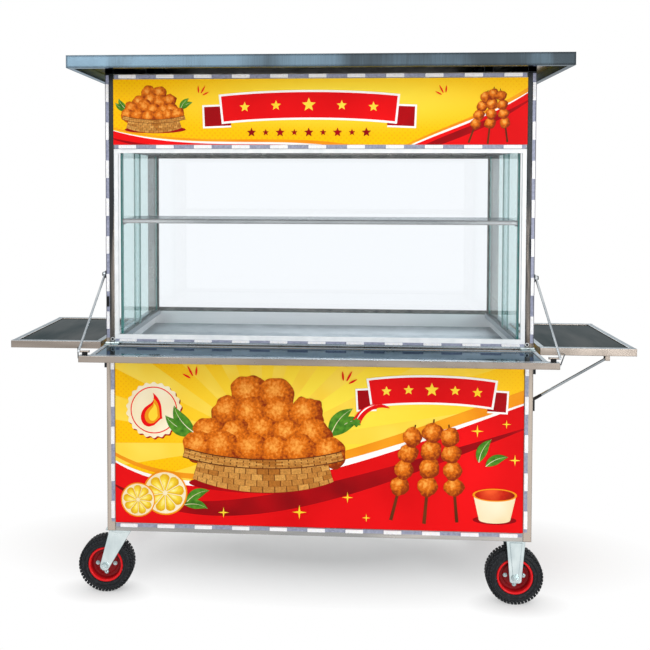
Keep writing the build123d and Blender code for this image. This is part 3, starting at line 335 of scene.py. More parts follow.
@dataclass(frozen=True)
class Moulding(Finish):
    """Moulded or coated surface: even colour with a soft mottle and a fine grain.

    It may have two darker colours in the rear half of the cart as painted shade, and a dark margin of painted
    shade past a line at each side.
    """

    light: str
    dark: str
    roughness: float
    roughness_ends: Pair = (0.85, 1.15)
    grain_mm: float = 1.2
    grain_depth_mm: float = 0.02
    mottle_mm: float = 35.0
    coat: float = 0.0
    coat_roughness: float = 0.08
    gloss: float = 0.5
    # Two darker colours for the rear half of the cart: painted shade.
    rear: tuple[str, str] | None = None
    # Painted dark shade past a line at each side.
    margin: str = ""
    margin_from_m: float = 0.0

    def surface(self, tree: Tree) -> Socket:
        """Mottle the colour and grain the surface.

        Args:
            tree: The material's node tree.

        Returns:
            The surface's shader.
        """
        place = add_node(tree, "TexCoord", out="Object")
        mottle = add_node(tree, "TexNoise", {"Vector": place, "Scale": PER_MM / self.mottle_mm,
                                             "Detail": 4.0})
        level = add_node(tree, "MapRange", {0: mottle, 1: NOISE_LOW, 2: NOISE_HIGH})
        colour = add_node(tree, "Mix", {0: level, 6: self.dark, 7: self.light}, data_type="RGBA")
        # Painted shade: the rear half takes darker colours.
        if self.rear:
            light, dark = self.rear
            depth = add_node(tree, "SeparateXYZ", {0: place}, out=Axis.Y.value)
            behind = add_node(tree, "Math", {0: depth, 1: 0.0}, operation="GREATER_THAN")
            other = add_node(tree, "Mix", {0: level, 6: dark, 7: light}, data_type="RGBA")
            colour = add_node(tree, "Mix", {0: behind, 6: colour, 7: other}, data_type="RGBA")
        # Painted shade: a dark margin past a line at each side.
        if self.margin:
            across = add_node(tree, "SeparateXYZ", {0: place}, out=Axis.X.value)
            reach = add_node(tree, "Math", {0: across}, operation="ABSOLUTE")
            outer = add_node(tree, "Math", {0: reach, 1: self.margin_from_m}, operation="GREATER_THAN")
            colour = add_node(tree, "Mix", {0: outer, 6: colour, 7: self.margin}, data_type="RGBA")
        rough = add_node(tree, "MapRange", {0: mottle, 1: NOISE_LOW, 2: NOISE_HIGH,
                                            3: self.roughness * self.roughness_ends[0],
                                            4: self.roughness * self.roughness_ends[1]})
        relief = grained(tree, place, self.grain_mm, self.grain_depth_mm, 2.0)
        return add_node(tree, "BsdfPrincipled", {"Base Color": colour, "Roughness": rough, "Normal": relief,
                                                 "Specular IOR Level": self.gloss, "Coat Weight": self.coat,
                                                 "Coat Roughness": self.coat_roughness})


@dataclass(frozen=True)
class FloatGlass(Finish):
    """Clear float glass: see-through faces with a mirror sheen and sea-green cut edges.

    Up to a place near the front the whole pane is green, as where its edge shines through it.
    """

    face: Axis
    tint: str
    edge_light: str = "0c948d"
    edge_dark: str = "066660"
    edge_streak_mm: float = 30.0
    edge_roughness: float = 0.2
    edge_gloss: float = 0.15
    green_to_m: float = -1.0
    wave_mm: float = 260.0
    wave_depth_mm: float = 0.12
    sheen: float = 0.035
    sheen_roughness: float = 0.02
    slant_sheen: float = 0.7
    slant_power: float = 5.0

    def surface(self, tree: Tree) -> Socket:
        """Make the faces clear and the edges green.

        Args:
            tree: The material's node tree.

        Returns:
            The pane's shader.
        """
        place = add_node(tree, "TexCoord", out="Object")
        relief = grained(tree, place, self.wave_mm, self.wave_depth_mm, 0.0)
        clear = add_node(tree, "BsdfTransparent", {0: self.tint})
        gloss = add_node(tree, "BsdfGlossy", {"Color": "ffffff", "Roughness": self.sheen_roughness,
                                              "Normal": relief})
        slant = add_node(tree, "LayerWeight", {"Blend": 0.5}, out="Facing")
        steep = add_node(tree, "Math", {0: slant, 1: self.slant_power}, operation="POWER")
        mirror = add_node(tree, "Math", {0: steep, 1: self.slant_sheen, 2: self.sheen},
                          operation="MULTIPLY_ADD")
        pane = add_node(tree, "MixShader", {0: mirror, 1: clear, 2: gloss})
        streak = add_node(tree, "TexNoise", {"Vector": place, "Scale": PER_MM / self.edge_streak_mm,
                                             "Detail": 3.0})
        green = add_node(tree, "Mix", {0: streak, 6: self.edge_dark, 7: self.edge_light},
                         data_type="RGBA")
        cut = add_node(tree, "BsdfPrincipled", {"Base Color": green, "Roughness": self.edge_roughness,
                                                "Specular IOR Level": self.edge_gloss})
        normal = add_node(tree, "NewGeometry", out="Normal")
        facing = add_node(tree, "SeparateXYZ", {0: normal}, out=self.face.value)
        squarely = add_node(tree, "Math", {0: facing}, operation="ABSOLUTE")
        side = add_node(tree, "Math", {0: squarely, 1: 0.5}, operation="LESS_THAN")
        depth = add_node(tree, "SeparateXYZ", {0: place}, out=Axis.Y.value)
        front = add_node(tree, "Math", {0: depth, 1: self.green_to_m}, operation="LESS_THAN")
        edge = add_node(tree, "Math", {0: side, 1: front}, operation="MAXIMUM")
        return add_node(tree, "MixShader", {0: edge, 1: pane, 2: cut})


@dataclass(frozen=True)
class TyreRubber(Finish):
    """Black tyre rubber: dull, with floor dust in clouds and painted grey highlights along the edges of the
    lugs.
    """

    name: str = "tyre_rubber"
    rubber: str = "15171a"
    dust: str = "323539"
    dust_mm: float = 14.0
    dust_ends: Pair = (0.52, 0.78)
    # Painted grey highlight on the sharp edges of the lugs.
    edge_highlight: str = "5d6064"
    edge_highlight_mm: float = 1.6
    edge_highlight_share: float = 0.7
    roughness: Pair = (0.4, 0.62)
    gloss: float = 0.15
    grit_mm: float = 1.1
    grit_depth_mm: float = 0.08

    def surface(self, tree: Tree) -> Socket:
        """Dust the rubber, paint grey highlights on the edges of its lugs and roughen it.

        Args:
            tree: The material's node tree.

        Returns:
            The rubber's shader.
        """
        place = add_node(tree, "TexCoord", out="Object")
        cloud = add_node(tree, "TexNoise", {"Vector": place, "Scale": PER_MM / self.dust_mm, "Detail": 6.0})
        level = add_node(tree, "MapRange", {0: cloud, 1: self.dust_ends[0], 2: self.dust_ends[1]})
        dusty = add_node(tree, "Mix", {0: level, 6: self.rubber, 7: self.dust}, data_type="RGBA")
        # Painted highlight: the sharp edges of the lugs turn grey.
        highlit_edges = edges(tree, self.edge_highlight_mm, self.edge_highlight_share)
        colour = add_node(tree, "Mix", {0: highlit_edges, 6: dusty, 7: self.edge_highlight}, data_type="RGBA")
        rough = add_node(tree, "MapRange", {0: cloud, 1: NOISE_LOW, 2: NOISE_HIGH, 3: self.roughness[0],
                                            4: self.roughness[1]})
        relief = grained(tree, place, self.grit_mm, self.grit_depth_mm, 2.0)
        return add_node(tree, "BsdfPrincipled", {"Base Color": colour, "Roughness": rough, "Normal": relief,
                                                 "Specular IOR Level": self.gloss})


@dataclass(frozen=True)
class RimEnamel(Finish):
    """Red stoving enamel: bright and glossy on the lip, darkened by painted shade down in the dish."""

    name: str = "red_stoving_enamel"
    lip: str = "e21a20"
    # Lip colour darkened by painted shade down in the dish.
    dish: str = "800c12"
    layer: str = "depth"
    lip_ends: Pair = (0.5, 1.02)
    cloud_mm: float = 22.0
    cloud_share: float = 0.24
    roughness: Pair = (0.26, 0.4)
    gloss: float = 0.15
    coat: float = 0.05
    coat_roughness: float = 0.1
    peel_mm: float = 2.5
    peel_depth_mm: float = 0.02

    def surface(self, tree: Tree) -> Socket:
        """Run the enamel from the painted shade of the dish to the bright lip, by the rim's own layer of
        depth.

        Args:
            tree: The material's node tree.

        Returns:
            The enamel's shader.
        """
        place = add_node(tree, "TexCoord", out="Object")
        depth = add_node(tree, "Attribute", out="Fac", attribute_name=self.layer)
        cloud = add_node(tree, "TexNoise", {"Vector": place, "Scale": PER_MM / self.cloud_mm, "Detail": 3.0})
        mixed = add_node(tree, "Math", {0: cloud, 1: self.cloud_share, 2: depth}, operation="MULTIPLY_ADD")
        # Painted shade: the deeper into the dish, the darker the enamel.
        level = add_node(tree, "MapRange", {0: mixed, 1: self.lip_ends[0], 2: self.lip_ends[1]})
        colour = add_node(tree, "Mix", {0: level, 6: self.dish, 7: self.lip}, data_type="RGBA")
        rough = add_node(tree, "MapRange", {0: cloud, 1: NOISE_LOW, 2: NOISE_HIGH, 3: self.roughness[0],
                                            4: self.roughness[1]})
        relief = grained(tree, place, self.peel_mm, self.peel_depth_mm)
        return add_node(tree, "BsdfPrincipled", {"Base Color": colour, "Roughness": rough, "Normal": relief,
                                                 "Specular IOR Level": self.gloss, "Coat Weight": self.coat,
                                                 "Coat Roughness": self.coat_roughness})


@dataclass(frozen=True)
class VinylBoard(Finish):
    """Printed vinyl film on board: a wide glow of colour with a field of round screen dots, and a bare back.

    Real screen dots are finer than a pixel, so they are drawn 13 mm apart to show.
    """

    low: str
    high: str
    dot: str
    middle_mm: tuple[float, float, float]
    along: Axis
    half_mm: Pair
    back: str = "d6d9d9"
    glow_at: Pair = (0.1, 0.35)
    glow_reach: float = 1.15
    pitch_mm: float = 13.0
    dot_turn: float = 45.0
    dot_ends: Pair = (0.55, 1.6)
    dot_radius: float = 0.42
    dot_share: float = 0.55

    def surface(self, tree: Tree) -> Socket:
        """Print the outer side of the board and leave its back bare.

        Args:
            tree: The material's node tree.

        Returns:
            The film's shader.
        """
        place = add_node(tree, "TexCoord", out="Object")
        middle = [part * MM for part in self.middle_mm]
        centred = add_node(tree, "VectorMath", {0: place, 1: middle}, operation="SUBTRACT")
        flat = add_node(tree, "CombineXYZ")
        for number, (axis, half) in enumerate(zip((self.along, Axis.Z), self.half_mm)):
            part = add_node(tree, "SeparateXYZ", {0: centred}, out=axis.value)
            share = add_node(tree, "Math", {0: part, 1: PER_MM / half}, operation="MULTIPLY")
            tree.links.new(share, flat.node.inputs[number])
        reach = add_node(tree, "VectorMath", {0: flat, 1: (*self.glow_at, 0.0)}, operation="DISTANCE")
        glow = add_node(tree, "MapRange", {0: reach, 1: 0.0, 2: self.glow_reach, 3: 1.0, 4: 0.0},
                        interpolation_type="SMOOTHSTEP")
        ground = add_node(tree, "Mix", {0: glow, 6: self.low, 7: self.high}, data_type="RGBA")
        scale = [half / self.pitch_mm for half in self.half_mm]
        turn = (0.0, 0.0, math.radians(self.dot_turn))
        spread = add_node(tree, "Mapping", {"Vector": flat, "Rotation": turn, "Scale": (*scale, 1.0)})
        square = add_node(tree, "VectorMath", {0: spread}, operation="FRACTION")
        off = add_node(tree, "VectorMath", {0: square, 1: (0.5, 0.5, 0.0)}, operation="DISTANCE")
        size = add_node(tree, "MapRange", {0: reach, 1: self.dot_ends[0], 2: self.dot_ends[1], 3: 0.0,
                                           4: self.dot_radius})
        inked = add_node(tree, "Math", {0: off, 1: size}, operation="LESS_THAN")
        amount = add_node(tree, "Math", {0: inked, 1: self.dot_share}, operation="MULTIPLY")
        printed = add_node(tree, "Mix", {0: amount, 6: ground, 7: self.dot}, data_type="RGBA")
        # The film covers the side that looks out, away from the middle of the cart.
        normal = add_node(tree, "NewGeometry", out="Normal")
        outward = add_node(tree, "VectorMath", {0: normal, 1: place}, operation="DOT_PRODUCT")
        bare = add_node(tree, "Math", {0: outward, 1: 0.0}, operation="LESS_THAN")
        colour = add_node(tree, "Mix", {0: bare, 6: printed, 7: self.back}, data_type="RGBA")
        return filmed(tree, colour, grained(tree, place, PEEL_MM, PEEL_DEPTH_MM))


@dataclass(frozen=True)
class InkFill(Finish):
    """One printed ink: a soft run of tone across each shape, under the film's gloss."""

    light: str
    dark: str
    run_mm: float = 120.0

    def surface(self, tree: Tree) -> Socket:
        """Run the ink from dark to light.

        Args:
            tree: The material's node tree.

        Returns:
            The film's shader.
        """
        place = add_node(tree, "TexCoord", out="Object")
        cloud = add_node(tree, "TexNoise", {"Vector": place, "Scale": PER_MM / self.run_mm, "Detail": 1.0})
        level = add_node(tree, "MapRange", {0: cloud, 1: NOISE_LOW, 2: NOISE_HIGH})
        colour = add_node(tree, "Mix", {0: level, 6: self.dark, 7: self.light}, data_type="RGBA")
        return filmed(tree, colour, grained(tree, place, PEEL_MM, PEEL_DEPTH_MM))


@dataclass(frozen=True)
class RoundInk(Finish):
    """Printed picture of a round crusted bite: lit from the upper left, dark at its rim and crumbed."""

    lit: str
    body: str
    rim: str
    crumb_mm: float = 7.0
    crumb: float = 0.5
    crumb_depth_mm: float = 0.03
    crumb_roughness: float = 0.62
    flake: float = 0.32
    flake_size: float = 1.6
    lit_at: Pair = (0.40, 0.62)
    stops: tuple[float, float, float] = (0.06, 0.36, 0.66)

    def surface(self, tree: Tree) -> Socket:
        """Shade the disc on its own map and break the shading up with crumbs and flakes.

        Args:
            tree: The material's node tree.

        Returns:
            The film's shader.
        """
        place = add_node(tree, "TexCoord", out="Object")
        own_map = add_node(tree, "TexCoord", out="UV")
        crumbs = add_node(tree, "TexNoise", {"Vector": place, "Scale": PER_MM / self.crumb_mm, "Detail": 5.0,
                                             "Roughness": self.crumb_roughness})
        flake_mm = self.crumb_mm * self.flake_size
        flakes = add_node(tree, "TexVoronoi", {"Vector": place, "Scale": PER_MM / flake_mm})
        away = add_node(tree, "VectorMath", {0: own_map, 1: (*self.lit_at, 0.0)}, operation="DISTANCE")
        rough = add_node(tree, "Math", {0: crumbs, 1: -self.crumb, 2: 0.5 * self.crumb},
                         operation="MULTIPLY_ADD")
        flaky = add_node(tree, "Math", {0: flakes, 1: self.flake * self.crumb, 2: rough},
                         operation="MULTIPLY_ADD")
        depth = add_node(tree, "Math", {0: away, 1: flaky}, operation="ADD")
        ramp = add_node(tree, "ValToRGB", {0: depth})
        ends = ramp.node.color_ramp.elements
        ends.new(self.stops[1])
        for end, position, colour in zip(ends, self.stops, (self.lit, self.body, self.rim)):
            end.position = position
            end.color = linear(colour)
        relief = add_node(tree, "Bump", {"Distance": self.crumb_depth_mm * MM, "Height": crumbs})
        return filmed(tree, ramp, relief)


@dataclass(frozen=True)
class CaneInk(Finish):
    """Printed picture of woven cane: bands over and under, drawn along the strip's own map."""

    light: str
    tan: str
    dark: str
    stakes: float = 26.0
    rows: float = 5.0
    gap: float = 0.004
    gap_softness: float = 0.6
    fibre_mm: float = 6.0
    fibre_ends: Pair = (0.7, 1.12)

    def surface(self, tree: Tree) -> Socket:
        """Weave the cane and fleck it with fibre.

        Args:
            tree: The material's node tree.

        Returns:
            The film's shader.
        """
        place = add_node(tree, "TexCoord", out="Object")
        own_map = add_node(tree, "TexCoord", out="UV")
        weave = add_node(tree, "TexBrick", {"Vector": own_map, "Color1": self.light,
                                            "Color2": self.tan, "Mortar": self.dark,
                                            "Scale": 1.0, "Mortar Size": self.gap,
                                            "Mortar Smooth": self.gap_softness,
                                            "Brick Width": 2.0 / self.stakes, "Row Height": 1.0 / self.rows})
        fibre = add_node(tree, "TexNoise", {"Vector": place, "Scale": PER_MM / self.fibre_mm, "Detail": 4.0})
        level = add_node(tree, "MapRange", {0: fibre, 1: NOISE_LOW, 2: NOISE_HIGH, 3: self.fibre_ends[0],
                                            4: self.fibre_ends[1]})
        colour = add_node(tree, "Mix", {0: 1.0, 6: weave, 7: level}, data_type="RGBA", blend_type="MULTIPLY")
        return filmed(tree, colour)


@dataclass(frozen=True)
class FloorPaint(Finish):
    """Pale floor paint: white to the eye, but shaded in ovals under the cart and at each front wheel."""

    name: str = "pale_floor"
    paint: str = "e7e7e7"
    shade_at_m: Pair = (0.0, 0.12)
    shade_m: Pair = (1.32, 0.4)
    shade_ends: Pair = (0.25, 1.05)
    wheel_at_m: Pair = (0.736, -0.214)
    wheel_middle_m: float = -0.033
    wheel_m: Pair = (0.2, 0.1)
    wheel_ends: Pair = (0.1, 1.0)
    wheel_white: float = 0.3

    def surface(self, tree: Tree) -> Socket:
        """Whiten the paint for the eye, away from the shaded ovals.

        Args:
            tree: The material's node tree.

        Returns:
            The floor's shader.
        """
        place = add_node(tree, "TexCoord", out="Object")
        start = [-at / reach for at, reach in zip(self.shade_at_m, self.shade_m)]
        oval = add_node(tree, "Mapping", {"Vector": place, "Location": (*start, 0.0),
                                          "Scale": (1.0 / self.shade_m[0], 1.0 / self.shade_m[1], 1.0)})
        away = add_node(tree, "VectorMath", {0: oval}, operation="LENGTH")
        rise = add_node(tree, "MapRange", {0: away, 1: self.shade_ends[0], 2: self.shade_ends[1]})
        across = add_node(tree, "SeparateXYZ", {0: place}, out=Axis.X.value)
        centred = add_node(tree, "Math", {0: across, 1: self.wheel_middle_m}, operation="SUBTRACT")
        reach = add_node(tree, "Math", {0: centred}, operation="ABSOLUTE")
        beside = add_node(tree, "Math", {0: reach, 1: self.wheel_at_m[0]}, operation="SUBTRACT")
        depth = add_node(tree, "SeparateXYZ", {0: place}, out=Axis.Y.value)
        before = add_node(tree, "Math", {0: depth, 1: self.wheel_at_m[1]}, operation="SUBTRACT")
        wheel = add_node(tree, "CombineXYZ", {0: beside, 1: before})
        small = add_node(tree, "Mapping", {"Vector": wheel,
                                           "Scale": (1.0 / self.wheel_m[0], 1.0 / self.wheel_m[1], 1.0)})
        off = add_node(tree, "VectorMath", {0: small}, operation="LENGTH")
        ring = add_node(tree, "MapRange", {0: off, 1: self.wheel_ends[0], 2: self.wheel_ends[1],
                                           3: self.wheel_white, 4: 1.0})
        pale = add_node(tree, "Math", {0: rise, 1: ring}, operation="MINIMUM")
        lift = add_node(tree, "Math", {0: seen(tree), 1: pale}, operation="MULTIPLY")
        paint = add_node(tree, "BsdfDiffuse", {0: self.paint})
        white = add_node(tree, "Emission", {0: "ffffff", 1: 1.0})
        return add_node(tree, "MixShader", {0: lift, 1: paint, 2: white})


class Ink(Enum):
    """The boards' inks: strong flat colours, and small pictures of crust, sauce, fruit and cane."""

    RED = InkFill("ink_red", "f20c12", "d8040a", 300.0)
    DEEP_RED = InkFill("ink_deep_red", "b0000b", "8c0008")
    WHITE = InkFill("ink_white", "ffffff", "f6f3ec")
    CREAM = InkFill("ink_cream", "fbf0d2", "f0dcae")
    ORANGE = InkFill("ink_orange", "f6a21c", "ee8d12")
    YELLOW = InkFill("ink_yellow", "ffe24d", "ffd32a")
    SUN = InkFill("ink_pale_yellow", "ffdd52", "fdd33c")
    BROWN = InkFill("ink_brown", "6b3413", "4f240c")
    GREEN = InkFill("ink_green", "5d9a2c", "35701c", 18.0)
    CRUST = RoundInk("ink_crust", "ffb24e", "e0720f", "8c2f04", 9.0, 0.75)
    SAUCE = RoundInk("ink_sauce", "f25a2a", "c8230d", "7d0e06", 16.0, 0.2)
    CITRUS = RoundInk("ink_citrus", "fff3a0", "f7d83c", "e0a90f", 5.0, 0.3)
    CANE = CaneInk("ink_cane", "dfa251", "b06a24", "5e2f0d")


# Satin tube: beige beside the cupboard, painted darker and streaked beside the glass as a reflection, with
# painted dark shade lines at its corners.
FRAME_STEEL = MillMetal("satin_stainless_post", "c4b7aa", "3b3d3f", 0.24, Axis.Z, fold="2c3136", painted_edge_mm=4.0,
                        painted_edge_share=0.9, band_mm=22.0, band_stretch=20.0, lean=-0.65, lean_axis=Axis.Z,
                        lean_from_m=0.9)
# The same tube laid level: warm grey with long streaks and painted dark shade lines at its edges.
RAIL_STEEL = MillMetal("satin_stainless_rail", "c9c4bd", "787e83", 0.24, Axis.X, fold="3a4046", band_mm=60.0,
                       band_stretch=9.0)
# Polished tube under the glass: nearly white, a painted reflection of the white surroundings, with a painted
# dark shade line at each edge.
COUNTER_STEEL = MillMetal("polished_stainless_rail", "f2f4f6", "cdd5da", 0.2, Axis.X)
# Bright rolled sheet: wide cloudy bands from pale blue to slate, leaning to slate at the right, a painted
# reflection as in a dull mirror; upper faces painted light and edges with painted dark shade lines.
ROOF_STEEL = MillMetal("bright_stainless_roof", "8ba7ba", "525d64", 0.16, Axis.Z, top="c9d3d9", fold="2b2f33",
                       painted_edge_mm=9.0, painted_edge_share=0.8, band_mm=190.0, band_stretch=3.0, lean=-0.45,
                       wave_depth_mm=0.5)
# Bright sheet under the roof: pale and warm where light gets in, dim in the hollow over the head.
LINING = MillMetal("bright_sheet_lining", "fbf8f2", "e9e4da", 0.38, Axis.X, rim="ffffff", painted_edge_share=0.0)
# Iron bar as rolled: brown-black and dull, with painted grey highlight lines at its edges.
BEARER_STEEL = MillMetal("black_iron_bearer", "3b3835", "22201e", 0.4, Axis.Y)
# Mirror sheet over the goods: its dim colour is a painted reflection of the dark inside of the cabinet, with
# painted dark lines at its edges.
CEILING_STEEL = MillMetal("bright_stainless_ceiling", "837d76", "24282b", 0.1, Axis.X, rim="8d9599",
                          band_mm=60.0, band_stretch=3.0, wave_depth_mm=0.6)
# Satin tube of the tables: warm, with a painted white sheen on its upper face and a painted dark shade line
# at each edge.
TABLE_STEEL = MillMetal("warm_stainless_tube", "b5aaa0", "8d837a", 0.28, Axis.X, top="c9d1d6", fold="4a4541",
                        painted_edge_share=0.85)
# Mirror sheet of the flap: dark slate with a few long light streaks, all a painted reflection.
TOP_STEEL = MillMetal("mirror_stainless_top", "98a6b3", "556571", 0.07, Axis.X, rim="b6c0c6", band_mm=120.0,
                      band_stretch=2.5, wave_depth_mm=0.3, painted_edge_share=0.0)
# Mirror sheet of the side shelves: duller and warmer, streaked from front to back; its dark tone and streaks
# are a painted reflection.
WING_STEEL = MillMetal("mirror_stainless_shelf", "898583", "484d4e", 0.09, Axis.Y, rim="9aa0a2",
                       band_mm=130.0, band_stretch=3.0, wave_depth_mm=0.3, painted_edge_share=0.0)
# Brushed sheet of the deck: painted light and shade, with white walls and folds round a grey, clouded floor.
DECK_STEEL = MillMetal("brushed_stainless_deck", "ffffff", "f1f4f5", 0.5, Axis.X, top="6f7f88", rim="ffffff",
                       fold="f2f6f7", band_mm=140.0)
# Brushed sheet of the half shelf: pale grey with painted dark shade lines at its folded lips.
SHELF_STEEL = MillMetal("brushed_stainless_shelf", "c9cbca", "7b8386", 0.2, Axis.X, fold="1c2124",
                        painted_edge_mm=7.0, painted_edge_share=0.95)
# Brushed sheet at the rear: even pale grey, with upright lines on the doors and level ones on the head, and
# painted dark shade lines at the edges.
DOOR_STEEL = MillMetal("brushed_stainless_door", "c3c9cc", "a8b0b5", 0.28, Axis.Z)
BACK_STEEL = MillMetal("brushed_stainless_back", "c6cbce", "adb4b8", 0.28, Axis.X)
# Drawn rod: a bright middle with dark flanks; the struts under the side shelves are painted greyer, as
# shaded.
ROD_STEEL = MillMetal("bright_drawn_rod", "d5d9dc", "9aa1a6", 0.18, Axis.Z, rim="596066", painted_edge_share=0.0)
STRUT_STEEL = MillMetal("grey_drawn_rod", "b4b9bc", "7b8286", 0.22, Axis.X, rim="4a5055", painted_edge_share=0.0)
# Blackened zinc plating of the small brackets: dark with thin painted highlights at its edges.
BRACKET_STEEL = MillMetal("blackened_zinc_bracket", "3d4043", "191b1d", 0.3, Axis.Z, rim="7f868a",
                          fold="8d9498", painted_edge_mm=1.5, painted_edge_share=0.5)
# Bright zinc plating: smooth, pale and faintly green, with painted dark shade at its edges.
ZINC = MillMetal("zinc_plated_steel", "e4eeee", "c9d6d8", 0.3, Axis.Z, rim="dfe7e8", fold="74858a",
                 painted_edge_share=0.7, band_mm=45.0, band_stretch=1.5)
# Drawn aluminium: pale and soft, with painted grey shade lines at its edges.
TRACK_ALLOY = MillMetal("drawn_aluminium_track", "dfe4e6", "b9c0c4", 0.34, Axis.Y, painted_edge_share=0.5)
# Smooth powder coat: even, slightly glossy white; the beads at the rear of the cabinet are painted
# grey-brown, as shaded.
BEAD_COAT = Moulding("bead_powder_coat", "f4f6f7", "e6eaec", 0.38, gloss=0.3, rear=("85837b", "3f4444"))
WHITE_TRIM = Moulding("white_powder_coat", "f4f6f7", "e6eaec", 0.38, gloss=0.3)
# Lacquered tape: grey-violet and mottled. ABS modules on it: satin white. Both have painted dark shade at the
# outer edge.
STRIP_MARGIN_FROM_M = 0.7462
TAPE = Moulding("light_tape_lacquer", "a2a6bc", "7d8298", 0.42, mottle_mm=9.0, margin="4d4f5e",
                margin_from_m=STRIP_MARGIN_FROM_M)
MODULE = Moulding("light_module_abs", "f6f6f8", "eaebf0", 0.34, gloss=0.3, margin="77757f",
                  margin_from_m=STRIP_MARGIN_FROM_M)
# Cast resin lens: white, smooth and wet-looking.
LENS = Moulding("light_lens_resin", "fbfbf8", "f2f2ee", 0.12, coat=0.6)
# Black lacquer and rubber: near black, the lacquer with a faint soft highlight and the rubber duller.
BLACK = Moulding("black_lacquered_steel", "1b1c1f", "101113", 0.4, gloss=0.25)
RUBBER_PAD = Moulding("black_rubber_pad", "1a1b1d", "0f1011", 0.62, grain_depth_mm=0.05, gloss=0.2)
# Stoving enamel and tyre rubber: a glossy red ring in a dull black one.
RIM_ENAMEL = RimEnamel()
TYRE = TyreRubber()
# Float glass: clear from the front, and pale sea-green at the sides, where the eye meets it at a slant.
PANE_Y = FloatGlass("float_glass_front", Axis.Y, tint="fdfeff")
PANE_X = FloatGlass("float_glass_side", Axis.X, tint="e4f1f1", green_to_m=-0.223)


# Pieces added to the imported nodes


def finished(mesh: Mesh, name: str, finish: Finish, body: str) -> bpy.types.Object:
    """Turn a bmesh into a piece that rides on a body.

    Args:
        mesh: The shape, in metres in the cart's frame; it is freed.
        name: Name of the piece.
        finish: Finish of all its faces.
        body: Body that carries it.

    Returns:
        The new object.
    """
    for face in mesh.faces:
        face.smooth = True
    data = bpy.data.meshes.new(name)
    mesh.to_mesh(data)
    mesh.free()
    data.set_sharp_from_angle(angle=SMOOTH_BELOW)
    data.materials.append(finish.material())
    piece = bpy.data.objects.new(name, data)
    bpy.context.scene.collection.objects.link(piece)
    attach(piece, body)
    LOG.info("%s: %d faces on %s", name, len(data.polygons), body)
    return piece


def merge(into: Mesh, other: Mesh) -> None:
    """Add one bmesh to another and free it.

    Args:
        into: The bmesh that grows.
        other: The bmesh that is added.
    """
    carrier = bpy.data.meshes.new("carrier")
    other.to_mesh(carrier)
    other.free()
    into.from_mesh(carrier)
    bpy.data.meshes.remove(carrier)


def both_halves(half: Sequence[Pair], *middle: Pair) -> list[Pair]:
    """A closed section from its near half, the points at its middle and the near half mirrored."""
    return [*half, *middle, *((radius, -along) for radius, along in reversed(half))]


def spun(section: Iterable[Pair], steps: int) -> Mesh:
    """Turn a closed section about the Y axis.

    Args:
        section: Radius and place along the axis of each corner, in millimetres.
        steps: Number of steps in the full turn.

    Returns:
        The closed ring.
    """
    mesh = bmesh.new()
    corners = [mesh.verts.new((radius * MM, along * MM, 0.0)) for radius, along in section]
    for at, corner in enumerate(corners):
        mesh.edges.new((corners[at - 1], corner))
    bmesh.ops.spin(mesh, geom=mesh.verts[:] + mesh.edges[:], cent=(0, 0, 0), axis=BACK, angle=math.tau,
                   steps=steps, use_merge=True)
    bmesh.ops.remove_doubles(mesh, verts=mesh.verts[:], dist=SAME_MM * MM)
    bmesh.ops.recalc_face_normals(mesh, faces=mesh.faces[:])
    return mesh


def ringed(mesh: Mesh, count: int) -> Mesh:
    """Repeat a shape evenly about the Y axis.

    Args:
        mesh: The shape, which is changed.
        count: How many there are in the full turn.

    Returns:
        The same bmesh with all copies.
    """
    bmesh.ops.spin(mesh, geom=mesh.verts[:] + mesh.edges[:] + mesh.faces[:], cent=(0, 0, 0), axis=BACK,
                   angle=math.tau * (count - 1) / count, steps=count - 1, use_duplicate=True)
    return mesh


def bar(start: Vector, end: Vector, radius: float, far_radius: float, sides: int) -> Mesh:
    """Make a straight round or many-sided bar, which may taper.

    Args:
        start: Middle of the near end, in metres.
        end: Middle of the far end.
        radius: Radius at the near end.
        far_radius: Radius at the far end.
        sides: Number of sides.

    Returns:
        The closed bar.
    """
    mesh = bmesh.new()
    line = end - start
    turn = line.to_track_quat("Z", "Y").to_matrix().to_4x4()
    bmesh.ops.create_cone(mesh, cap_ends=True, segments=sides, radius1=radius, radius2=far_radius,
                          depth=line.length, matrix=Matrix.Translation((start + end) / 2) @ turn)
    return mesh


@dataclass(frozen=True)
class Stage:
    """One bar of a turned piece: where it starts and ends, its radius at both and its number of sides."""

    from_mm: float
    to_mm: float
    radius_mm: float
    far_radius_mm: float
    sides: int


def stacked(foot: Vector, out: Vector, stages: Iterable[Stage]) -> Mesh:
    """Make a turned piece from bars along one line.

    Args:
        foot: Start of the line, in metres.
        out: Its direction.
        stages: The bars.

    Returns:
        All the bars.
    """
    mesh = bmesh.new()
    for stage in stages:
        start, end = foot + out * stage.from_mm * MM, foot + out * stage.to_mm * MM
        merge(mesh, bar(start, end, stage.radius_mm * MM, stage.far_radius_mm * MM, stage.sides))
    return mesh


